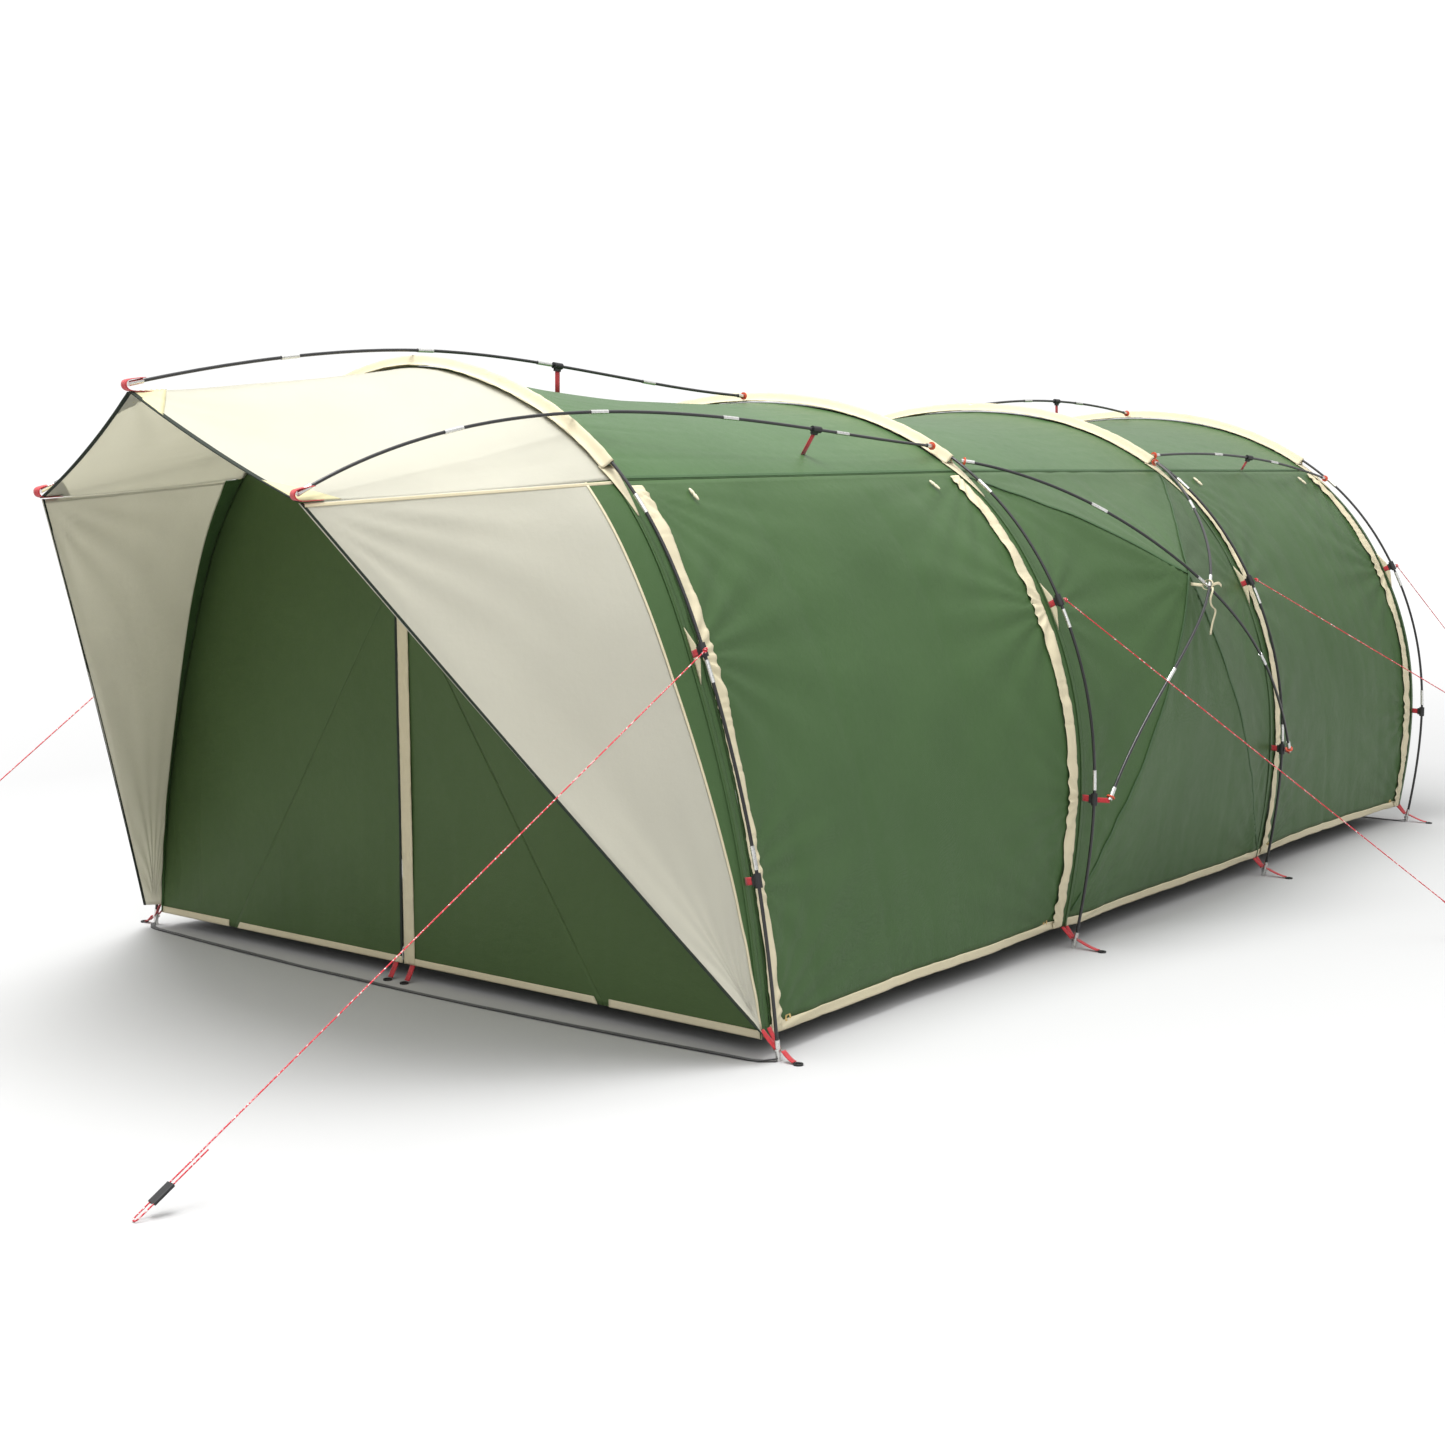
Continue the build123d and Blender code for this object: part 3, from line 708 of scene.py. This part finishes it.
def sleeve_tabs():
    tabs = []
    for arch in ARCHES:
        for left in (False, True):
            k = np.linspace(0, 1, 14)
            u = SLEEVE_BEGIN + 0.002 - 0.036 * k
            centre = arch.at(u, inset_at(u) - 0.0045)
            if left:
                centre = centre * np.array((-1, 1, 1))
            tabs.append(ribbon("t", centre, (0, 1, 0), 0.07, BEIGE, 0.0014, 1 - 0.93 * k))
    dress(join("sleeve_end_tab_cloth", tabs), "tent", "sleeve_end_tabs")


def clip_webs():
    """Red webs from the clips to the cloth, ending in a sewn patch."""
    webs, gussets = [], []
    for arch in ARCHES:
        for clip in (UPPER_CLIP, LOWER_CLIP):
            for left in (1, -1):
                flip = np.array((left, 1, 1))
                along = np.append(arch.curve.along(clip), 0)[[0, 2, 1]] * flip
                line = [arch.at(np.array(clip), i) * flip for i in (0.017, 0.026, 0.037, 0.0475)]
                webs.append(ribbon("w", line, along, 0.023, RED, 0.0022))
                if clip == UPPER_CLIP:
                    span = np.linspace(-0.017, 0.017, 9)
                    base = arch.at(clip + span, 0.0462) * flip
                    tip = arch.at(clip + span * 0.25, 0.0215) * flip
                    rows = [base + (tip - base) * k for k in np.linspace(0, 1, 5)]
                    verts = np.concatenate(rows)
                    tri = mesh_object("g", verts, grid_faces(5, 9), BEIGE)
                    gussets.append(thicken(tri, 0.0016))
    for x in (-1, 1):
        webs.append(foot_loops(x))
    webs += ground_webs()
    webs += brace_webs()
    webs += porch_tabs()
    webs += cross_pole_webs()
    dress(join("red_webs", webs), "tent", "red_webbing")
    dress(join("clip_gussets", gussets), "tent")


def foot_loops(way):
    """Pointed webbing loops that hang from each arch to the collar of its foot."""
    parts = []
    for arch in ARCHES:
        flip = np.array((way, 1, 1))
        for y in (-0.011, 0.011):
            line = []
            for k in np.linspace(0, 1, 9):
                z = 0.085 - 0.05 * k
                x = FOOT_X - 0.048 + 0.044 * k
                line.append(np.array((x, arch.y + y * (1.6 - 1.1 * k), z)) * flip)
            parts.append(ribbon("f", line, (0.2 * way, 1, 0.2), 0.016, RED, 0.0018))
    return join(f"foot_loops_{way}", parts)


def ground_webs():
    """Short webs from the feet and the zip's foot to the pegging rings."""
    webs = []
    for arch, out in zip(ARCHES, RING_OUT):
        for way in (1, -1):
            line = []
            for k in np.linspace(0, 1, 8):
                x = FOOT_X + 0.017 + (out - 0.03) * k
                z = 0.026 * (1 - k) ** 1.5 + 0.0065
                line.append(np.array((way * x, arch.y, z)))
            webs.append(ribbon("r", line, (0, 1, 0), 0.022, RED, 0.002))
    for x in (ZIP_X - 0.04, ZIP_X + 0.04):
        line = []
        for k in np.linspace(0, 1, 10):
            line.append(np.array((x, ARCH_Y[0] - 0.004 - 0.03 * k, 0.062 - 0.0545 * k ** 0.8)))
        webs.append(ribbon("z", line, (1, 0, 0), 0.023, RED, 0.002))
    return webs


def brace_webs():
    """Webs from the clips of the long poles down to the roof."""
    webs = []
    up = np.array((0, 0, 1.0))
    side = np.array((0.55, 0, 0.84))
    side /= np.linalg.norm(side)
    for node, y, out, length, both in (
        ("porch_pole_middle", ARCH_Y[0] + 0.64, up, 0.085, False),
        ("porch_pole_right", ARCH_Y[0] + 1.021, side, 0.085, True),
        ("rear_pole_middle", ARCH_Y[2] + 0.86, up, 0.085, False),
        ("rear_pole_right", ARCH_Y[2] + 0.86, side, 0.05, True),
    ):
        near = [v.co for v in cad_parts[node].data.vertices if abs(v.co.y - y) < 0.35]
        near = np.array([tuple(v) for v in near])
        fit = np.polyfit(near[:, 1], near[:, 0], 2), np.polyfit(near[:, 1], near[:, 2], 2)
        centre = np.array((np.polyval(fit[0], y), y, np.polyval(fit[1], y)))
        for flip in ((1, -1) if both else (1,)):
            line = [(centre - out * d) * np.array((flip, 1, 1)) for d in (0.018, 0.018 + length / 2,
                                                                         0.018 + length)]
            webs.append(ribbon("b", line, (0, 1, 0), 0.023, RED, 0.002))
    return webs


def cross_pole_webs():
    """Webs from the lower clips to the ends of the crossing poles."""
    webs = []
    for arch, way in ((ARCHES[1], 1), (ARCHES[2], -1)):
        k = np.linspace(0, 1, 12)[:, None]
        clip = arch.at(np.array(LOWER_CLIP), -0.013)
        end = arch.at(np.array(LOWER_CLIP), -0.045) + np.array((0, way * 0.03, -0.002))
        line = clip + (end - clip) * k
        for flip in (1, -1):
            webs.append(ribbon("c", line * np.array((flip, 1, 1)), (0, 0, 1), 0.018, RED, 0.002))
    return webs


def porch_tabs():
    """Folded webs at the canopy's corners, which the tips of the porch poles sit in."""
    tabs = []
    for tip, into in (
        (PORCH_TOP, np.array((0, 0.987, 0.16))),
        (PORCH_SIDE, np.array((0.13, 0.965, 0.19))),
        (PORCH_SIDE * np.array((-1, 1, 1)), np.array((-0.13, 0.965, 0.19))),
    ):
        across = np.cross(into, (0, 0, 1.0))
        up = np.cross(across, into)
        up = up / np.linalg.norm(up)
        line = [
            tip + into * a + up * b for a, b in (
                (0.075, -0.032), (0.04, -0.027), (0.005, -0.021), (-0.012, -0.012), (-0.016, 0.0),
                (-0.012, 0.009), (0.0, 0.0125), (0.03, 0.0125), (0.055, 0.0115),
            )
        ]
        smooth_line = Spline(line).at(np.linspace(0, 1, 26))
        tabs.append(ribbon("p", smooth_line, across, 0.026, RED, 0.002))
    return tabs


def near_hub(way, offsets):
    """Points beside the crossing of the poles, on the right side or mirrored."""
    hub = CROSSING + np.array((0.007, 0, 0))
    return [(hub + np.array(offset)) * np.array((way, 1, 1)) for offset in offsets]


def ties():
    """Beige ribbons that hold the wall's middle to the crossing poles."""
    parts = []
    for way in (1, -1):
        loop = []
        for a in np.linspace(0, 2 * pi, 22):
            loop.append((0.021 * np.cos(a), 0.01 * np.sin(a), 0.019 * np.sin(a)))
        parts.append(ribbon("t", near_hub(way, loop), (0, 1, 0), 0.011, BEIGE, 0.001))
        inner = near_hub(way, ((-0.018, 0, -0.004), (-0.04, 0.002, -0.002), (-0.075, 0, 0.0)))
        parts.append(ribbon("t", inner, (0, 0.3, 1), 0.012, BEIGE, 0.001))
        hang = near_hub(way, (
            (0.02, -0.004, -0.008), (0.034, -0.03, -0.02), (0.034, -0.05, -0.055),
            (0.03, -0.02, -0.085), (0.027, 0.01, -0.1), (0.025, -0.008, -0.14),
            (0.023, -0.025, -0.19),
        ))
        smoothline = Spline(hang).at(np.linspace(0, 1, 30))
        parts.append(ribbon("t", smoothline, (0.25, 1, 0.1), 0.011, BEIGE, 0.001))
        stub = near_hub(way, ((0.02, 0.004, 0), (0.032, 0.02, 0.006), (0.036, 0.045, -0.006)))
        stub = Spline(stub).at(np.linspace(0, 1, 12))
        parts.append(ribbon("t", stub, (0, 0.1, 1), 0.011, BEIGE, 0.001))
    dress(join("cross_tie_ribbons", parts), "tent", "cross_pole_ties")


# ---------------------------------------------------------------- porch
def canopy_edge(t):
    s = np.abs(1 - 2 * t)
    rise = PORCH_TOP - PORCH_SIDE
    rise = np.array((0, rise[1], rise[2]))
    height = (1 - s) - 0.05 * 4 * s * (1 - s)
    base = np.stack([PORCH_SIDE[0] * (1 - 2 * t), np.full_like(t, PORCH_SIDE[1]),
                     np.full_like(t, PORCH_SIDE[2] - 0.022)], -1)
    return base + rise * height[..., None]


def canopy(s, t, lift=0.0):
    arch = ARCHES[0]
    u = SHOULDER + (1 - 2 * SHOULDER) * t
    back = arch.at(u, INSET_TOP) + np.array((0, -0.008, 0))
    front = canopy_edge(t)
    share = s[..., None]
    place = front * (1 - share) + back * share
    inward = np.stack([-(0.5 - t) * 1.0, 0 * t, -np.ones_like(t)], -1)
    inward /= np.linalg.norm(inward, axis=-1, keepdims=True)
    sag = 0.03 * 4 * s * (1 - s) * (0.25 + np.sin(2 * pi * np.abs(t - 0.5)) ** 2)
    folds = 0.0032 * noise(t * 7 + s, s * 3, 301) + 0.0016 * creases(t * 26, s * 1.5, 302) * s
    folds = folds + 0.0035 * fan(s, t, 0.0, 0.5, 1.3, 1.1, 12, 0.4, 303)
    edge = smooth(np.minimum(t, 1 - t) * 25) * smooth(np.minimum(s, 1 - s) * 20)
    return place + inward * (sag + folds * edge - lift)[..., None]


def wing_place(mirrored):
    arch = ARCHES[0]
    foot = np.array((FOOT_X - 0.012, arch.y - 0.06, 0.085))
    corner = PORCH_SIDE + np.array((0.0, 0.004, -0.026))

    def place(s, t, lift=0.0):
        u = 0.016 + (SHOULDER - ROOF_LAP - 0.016) * t
        back = arch.at(u, inset_at(u)) + np.array((0, -0.008, 0))
        front = foot * (1 - t[..., None]) + corner * t[..., None]
        bow = 0.02 * 4 * t * (1 - t)
        share = s[..., None]
        point = front * (1 - share) + back * share
        inward = np.array((-0.9, 0.24, -0.31))
        inward /= np.linalg.norm(inward)
        sag = 0.03 * 4 * s * (1 - s) * np.sin(pi * t) + bow * (1 - s) * 0.5
        folds = 0.005 * noise(s * 3 + t * 2, t * 3, 311 + mirrored)
        folds = folds + 0.004 * fan(s, t, 0.0, 1.0, 1.9, 1.0, 16, 0.5, 312)
        folds = folds + 0.003 * fan(s, t, 0.5, 0.0, 1.9, 1.0, 18, 0.6, 313)
        edge = smooth(np.minimum(t, 1 - t) * 22) * smooth(np.minimum(s, 1 - s) * 16)
        point = point + inward * (sag + folds * edge - lift)[..., None]
        if mirrored:
            point = point * np.array((-1, 1, 1))
        return point
    return place


def triangle_patch(name, place, corners, material, lift=0.002, steps=14):
    """A three-cornered reinforcement that follows the cloth."""
    a, b, c = (np.array(p, float) for p in corners)
    verts, faces, index = [], [], {}
    for i in range(steps + 1):
        for j in range(steps + 1 - i):
            p = a + (b - a) * i / steps + (c - a) * j / steps
            index[i, j] = len(verts)
            verts.append(place(np.array([p[0]]), np.array([p[1]]), lift)[0])
    for i in range(steps):
        for j in range(steps - i):
            faces.append((index[i, j], index[i + 1, j], index[i, j + 1]))
            if j < steps - i - 1:
                faces.append((index[i + 1, j], index[i + 1, j + 1], index[i, j + 1]))
    return thicken(mesh_object(name, verts, faces, material), 0.0012)


def edge_binding(name, place, edge, inner, width, count):
    """A binding folded over the cloth's free edge."""
    t = np.linspace(0, 1, count)
    line = place(np.full_like(t, edge), t, 0.001)
    across = place(np.full_like(t, inner), t, 0.001) - line
    return dress(ribbon(name, line, across, width, BINDING, 0.003), "tent")


def porch():
    roof = surface("porch_canopy_cloth", canopy, 60, 120, CANOPY)
    dress(roof, "tent", "porch_canopy")
    binding = edge_binding("porch_front_binding", canopy, 0.006, 0.03, 0.016, 120)
    patches = [
        triangle_patch("p", canopy, corners, PATCH) for corners in (
            ((0.004, 0.4), (0.004, 0.6), (0.12, 0.5)),
            ((0.004, 0.002), (0.004, 0.11), (0.13, 0.002)),
            ((0.004, 0.998), (0.004, 0.89), (0.13, 0.998)),
        )
    ]
    corner = dress(join("porch_corner_patches", patches), "tent")
    for mirrored in (False, True):
        side = side_name(mirrored)
        place = wing_place(mirrored)
        split = 0.9
        wing = surface(f"porch_wing_cloth_{side}", place, 60, 90, CANOPY, (0.0, split, 0.0, 1.0))
        dress(wing, "tent", f"porch_wing_{side}")
        band = surface(f"porch_side_band_{side}", place, 10, 90, GREEN, (split, 1.0, 0.0, 1.0))
        dress(band, "tent")
        seams = [
            seam_line("w", place, (split, 0.0), (split, 1.0), BEIGE, 0.008, 0.0016, 90),
            seam_line("w", place, (0.01, 0.995), (0.99, 0.995), BEIGE, 0.01, 0.0022, 60),
        ]
        welt = dress(join(f"porch_wing_seams_{side}", seams), "tent")
        hem = edge_binding(f"porch_wing_binding_{side}", place, 0.008, 0.04, 0.009, 90)


def leaf_line(way):
    """Zip foot, zip top and outer foot of a leaf, in the front arch's plane."""
    return np.array((ZIP_X, ZIP_LOW)), np.array((ZIP_X, ZIP_HIGH)), np.array(
        (ZIP_X + way * (LEAF_WIDTH + 0.006), ZIP_LOW))


def front_point(x, z, lift=0.0):
    """A point of the front wall; lift is towards the porch."""
    place = ARCHES[0].lift(x, z)
    return place + np.array((0, -0.006, 0)) - np.stack([0 * x, lift + 0 * x, 0 * x], -1)


def front_folds(x, z):
    total = 0.004 * noise(x * 2.3, z * 2, 401) + 0.0022 * creases(x * 5 + z * 1.2, z * 1.2, 402)
    hang = 0.0025 * creases(x * 9, z * 0.8, 403) * smooth(1.2 - z)
    return (total + hang) * smooth((z - ZIP_LOW) * 6 + 0.15) * calm(x, z)


def calm(x, z):
    """How much the cloth folds at a point: less along the lines where the leaves fold back."""
    edges = []
    for way in (1, -1):
        top, outer = leaf_line(way)[1:]
        along = (outer - top) / np.linalg.norm(outer - top)
        edges.append(np.abs((x - top[0]) * along[1] - (z - top[1]) * along[0]))
    return 0.2 + 0.8 * smooth(np.minimum(edges[0], edges[1]) / 0.12)


def leaf_place(way):
    foot, top, outer = leaf_line(way)
    edge = 0.0035 * way

    def place(s, t, lift=0.0):
        inner = foot * (1 - t[..., None]) + top * t[..., None] + np.array((edge, 0))
        hinge = outer * (1 - t[..., None]) + top * t[..., None]
        p = inner * (1 - s[..., None]) + hinge * s[..., None]
        return front_point(p[..., 0], p[..., 1], lift + front_folds(p[..., 0], p[..., 1]))
    return place


def wall_place(s, t, lift=0.0):
    """The front wall round the doorway: s from the doorway to the arch, t round it."""
    arch = ARCHES[0]
    top, outer_r = leaf_line(1)[1:]
    outer_l = leaf_line(-1)[2]
    right = outer_r + (top - outer_r) * np.clip(t * 2, 0, 1)[..., None]
    inner = np.where((t <= 0.5)[..., None], right,
                     top + (outer_l - top) * np.clip(t * 2 - 1, 0, 1)[..., None])
    inner = inner + (np.array((ZIP_X, ZIP_LOW)) - inner) * np.array((0.012, 0))
    u = HEM_LEVEL + (1 - 2 * HEM_LEVEL) * t
    rim = arch.at(u, inset_at(u) - 0.004)[..., [0, 2]]
    rim[..., 1] = np.maximum(rim[..., 1], ZIP_LOW)
    p = inner * (1 - s[..., None]) + rim * s[..., None]
    keep = smooth((1 - s) * 10)
    tuck = -0.0012 * smooth(1 - s * 30)
    return front_point(p[..., 0], p[..., 1], lift + tuck + front_folds(p[..., 0], p[..., 1]) * keep)


def front_wall():
    wall = surface("front_wall_cloth", wall_place, 60, 180, WALL_GREEN)
    dress(wall, "tent", "front_wall")
    hems = []
    inner, outer = LEAF_WIDTH + 0.03, FOOT_X - 0.052
    for ends in ((ZIP_X + inner, outer), (-outer, ZIP_X - inner)):
        x = np.linspace(*ends, 30)
        z = np.full_like(x, ZIP_LOW + 0.012)
        line = front_point(x, z, 0.003 + front_folds(x, z))
        hems.append(ribbon("h", line, (0, 0, 1), 0.024, BEIGE, 0.002))
    hem = dress(join("front_wall_hem", hems), "tent")
    for way, side in ((1, "right"), (-1, "left")):
        place = leaf_place(way)
        body = f"front_leaf_{side}"
        leaf = surface(f"front_leaf_cloth_{side}", place, 50, 70, WALL_GREEN)
        dress(leaf, body, f"front_door_leaf_{side}")
        span = (0.0, 0.975, 0.0005, 0.018)
        hem = surface(f"front_leaf_hem_{side}", place, 40, 5, BEIGE, span, 0.003, 0.002)
        tape_t = np.linspace(0.002, 0.995, 160)
        tape = ribbon(f"front_zip_tape_{side}", place(np.full_like(tape_t, 0.006), tape_t, 0.0015),
                      (1, 0, 0), 0.011, BINDING, 0.0012)
        trims = [dress(hem, body), dress(tape, body)]
        if way > 0:
            flap = surface("front_zip_flap_cloth", zip_flap_place, 12, 220, BEIGE, thick=0.0012)
            trims.append(dress(flap, body, "front_zip_flap"))


def zip_flap_place(s, t, lift=0.0):
    z = ZIP_LOW + 0.004 + (ZIP_HIGH - ZIP_LOW - 0.012) * t
    x = ZIP_X + 0.006 + 0.05 * s * smooth((1 - t) * 9 + 0.1)
    puff = 0.005 * np.abs(noise(t * 42, s * 3, 411)) ** 0.6 + 0.002 * noise(t * 19, s * 5, 412)
    return front_point(x, z, 0.0045 + lift + puff * smooth(np.minimum(s, 1 - s) * 4 + 0.25))


def rear_wall():
    arch = ARCHES[3]

    def place(s, t, lift=0.0):
        u = HEM_LEVEL + (0.5 - HEM_LEVEL) * t
        rim = arch.at(u, inset_at(u) + 0.002)
        p = rim.copy()
        p[..., 0] = rim[..., 0] * (1 - 2 * s)
        z = p[..., 2]
        out = 0.03 * np.sin(pi * t) * 4 * s * (1 - s)
        folds = 0.004 * noise(p[..., 0] * 2.2, z * 2, 421) + 0.002 * creases(p[..., 0] * 7, z, 422)
        keep = smooth(np.minimum(s, 1 - s) * 12) * smooth((1 - t) * 12)
        p[..., 1] += 0.004 + (out + folds) * keep + lift
        return p
    wall = surface("rear_wall_cloth", place, 110, 90, GREEN, (0, 1, HEM_HEIGHT, 0.9995))
    dress(wall, "tent", "rear_wall")
    hem = surface("rear_wall_hem", place, 110, 5, BEIGE, (0, 1, 0, HEM_HEIGHT), HEM_LIFT, HEM_THICK)
    dress(hem, "tent")


def foot_straps():
    straps = []
    for y, bow, foot in ((ARCH_Y[0] - 0.041, -0.07, 0.03), (ARCH_Y[3] - 0.023, 0.004, 0.01)):
        k = np.linspace(-1, 1, 80)
        near_foot = smooth((np.abs(k) - 0.965) / 0.035)
        x = k * (FOOT_X + 0.004)
        z = 0.0032 + 0.0012 * noise(k * 6, k * 0, 431) + 0.006 * near_foot
        line = np.stack([x, y + bow * (1 - k * k) + foot * near_foot, z], -1)
        straps.append(ribbon("s", line, (0, 1, 0), 0.022, BLACK_WEB, 0.0016))
    dress(join("ground_straps", straps), "tent", "foot_straps")


# ---------------------------------------------------------------- guy ropes
ROPES = (
    ("front_right", 0, 1, (1.046, -3.9)),
    ("front_left", 0, -1, (-1.046, -3.9)),
    ("second_right", 1, 1, (2.58, 0.84)),
    ("third_right", 2, 1, (2.95, 2.92)),
    ("rear_right", 3, 1, (2.03, 4.04)),
)
ROPE_D = 0.004
ROPE_OUT = 0.018
ROPE_TURN = 0.008
ROPE_TAIL = 0.215


def knot(name, centre, along):
    """Two turns of cord, pulled tight."""
    k = np.linspace(0, 1, 40)
    along = Vector(along).normalized()
    basis = along.to_track_quat("Z", "Y").to_matrix()
    line = []
    for x in k:
        a = 4 * pi * x
        turned = Vector((0.0052 * np.cos(a), 0.0052 * np.sin(a), 0.012 * (x - 0.5)))
        line.append(Vector(centre) + basis @ turned)
    return tube(name, [tuple(p) for p in line], 0.0021, ROPE, 8)


def guy_ropes():
    for name, index, side, ground in ROPES:
        start = ARCHES[index].at(np.array(UPPER_CLIP), -ROPE_OUT) * np.array((side, 1, 1))
        end = np.array((*ground, ROPE_D / 2 + 0.0065))
        along = (end - start) / np.linalg.norm(end - start)
        sideways = np.cross((0, 0, 1), along)
        sideways = sideways / np.linalg.norm(sideways) * side
        back = end + sideways * 2 * ROPE_TURN
        points = [
            start, start + (end - start) * 0.5, end - along * 0.03, end,
            end + sideways * ROPE_TURN * 0.4 + along * ROPE_TURN * 1.15,
            end + sideways * ROPE_TURN * 1.6 + along * ROPE_TURN * 1.15,
            back, back - along * 0.03, back - along * ROPE_TAIL,
        ]
        curve = bpy.data.curves.new(f"guy_rope_line_{name}", "CURVE")
        curve.dimensions = "3D"
        curve.resolution_u = 12
        curve.bevel_depth = ROPE_D / 2
        curve.bevel_resolution = 3
        curve.use_fill_caps = True
        spline = curve.splines.new("NURBS")
        spline.points.add(len(points) - 1)
        for point, co in zip(spline.points, points):
            point.co = (*co, 1)
        spline.order_u = 3
        spline.use_endpoint_u = True
        rope = put(f"guy_rope_line_{name}", curve)
        curve.materials.append(ROPE)
        top = knot(f"guy_rope_knot_{name}", start + along * 0.012, along)
        dress(rope, "tent", f"guy_rope_{name}")
        dress(top, "tent")


# ---------------------------------------------------------------- stage
FLOOR_TONES = (0.5, 0.86)     # near the tent and far from it
FLOOR_REACH = (5.0, 16.0)     # metres over which the tone changes
SKY_LIGHT = (0.36, 1.7)       # at the horizon and overhead
BACKDROP = 1.05               # what the camera sees behind the tent


def stage():
    bpy.ops.mesh.primitive_plane_add(size=120, location=(0, 0, 0))
    floor = bpy.context.object
    floor.name = "studio_floor"
    material, tree, shader = nodes_of("studio_floor")
    far = add(tree, "ShaderNodeVectorMath", {0: object_coords(tree)}, operation="LENGTH")
    feed(tree, shader, {
        "Base Color": map_range(tree, far.outputs["Value"], *FLOOR_TONES, *FLOOR_REACH),
        "Roughness": 0.9, "Specular IOR Level": 0.1,
    })
    floor.data.materials.append(material)
    world = bpy.data.worlds.new("studio")
    bpy.context.scene.world = world
    world.use_nodes = True
    tree = world.node_tree
    coords = add(tree, "ShaderNodeTexCoord")
    split = add(tree, "ShaderNodeSeparateXYZ", {0: coords.outputs["Generated"]})
    sky = map_range(tree, split.outputs["Z"], *SKY_LIGHT)
    path = add(tree, "ShaderNodeLightPath")
    seen = add(tree, "ShaderNodeMix", {0: path.outputs["Is Camera Ray"], 2: sky, 3: BACKDROP})
    feed(tree, tree.nodes["Background"], {0: (1.0, 1.0, 1.0, 1), 1: seen.outputs[0]})
    for kind, power, size, place in (
        ("key", 1300.0, 6.0, (-0.5, -3.0, 11.0)),
        ("fill", 160.0, 8.0, (6.0, -9.0, 7.5)),
    ):
        light = bpy.data.lights.new(kind, "AREA")
        light.energy = power
        light.size = size
        lamp = put(kind, light)
        lamp.location = place
        aim = Vector((0, 0.5, 0.8)) - Vector(place)
        lamp.rotation_euler = aim.to_track_quat("-Z", "Y").to_euler()
    bpy.context.scene.view_settings.view_transform = "Standard"


def camera():
    """Level camera at eye height, looking along the tent from its front right corner."""
    data = bpy.data.cameras.new("camera")
    data.sensor_width = 36.0
    data.lens = 51.3
    data.shift_y = -0.1754
    data.clip_end = 300
    eye = put("camera", data)
    eye.location = (4.978, -6.774, 1.71)
    eye.rotation_euler = (radians(90), 0, radians(37.91))
    bpy.context.scene.camera = eye


dress_cad_nodes()
camera()
stage()
guy_ropes()
roofs()
side_walls()
for index, item in enumerate(ARCHES, 1):
    sleeve(index, item)
arch_tapes()
sleeve_tabs()
clip_webs()
ties()
porch()
front_wall()
rear_wall()
foot_straps()
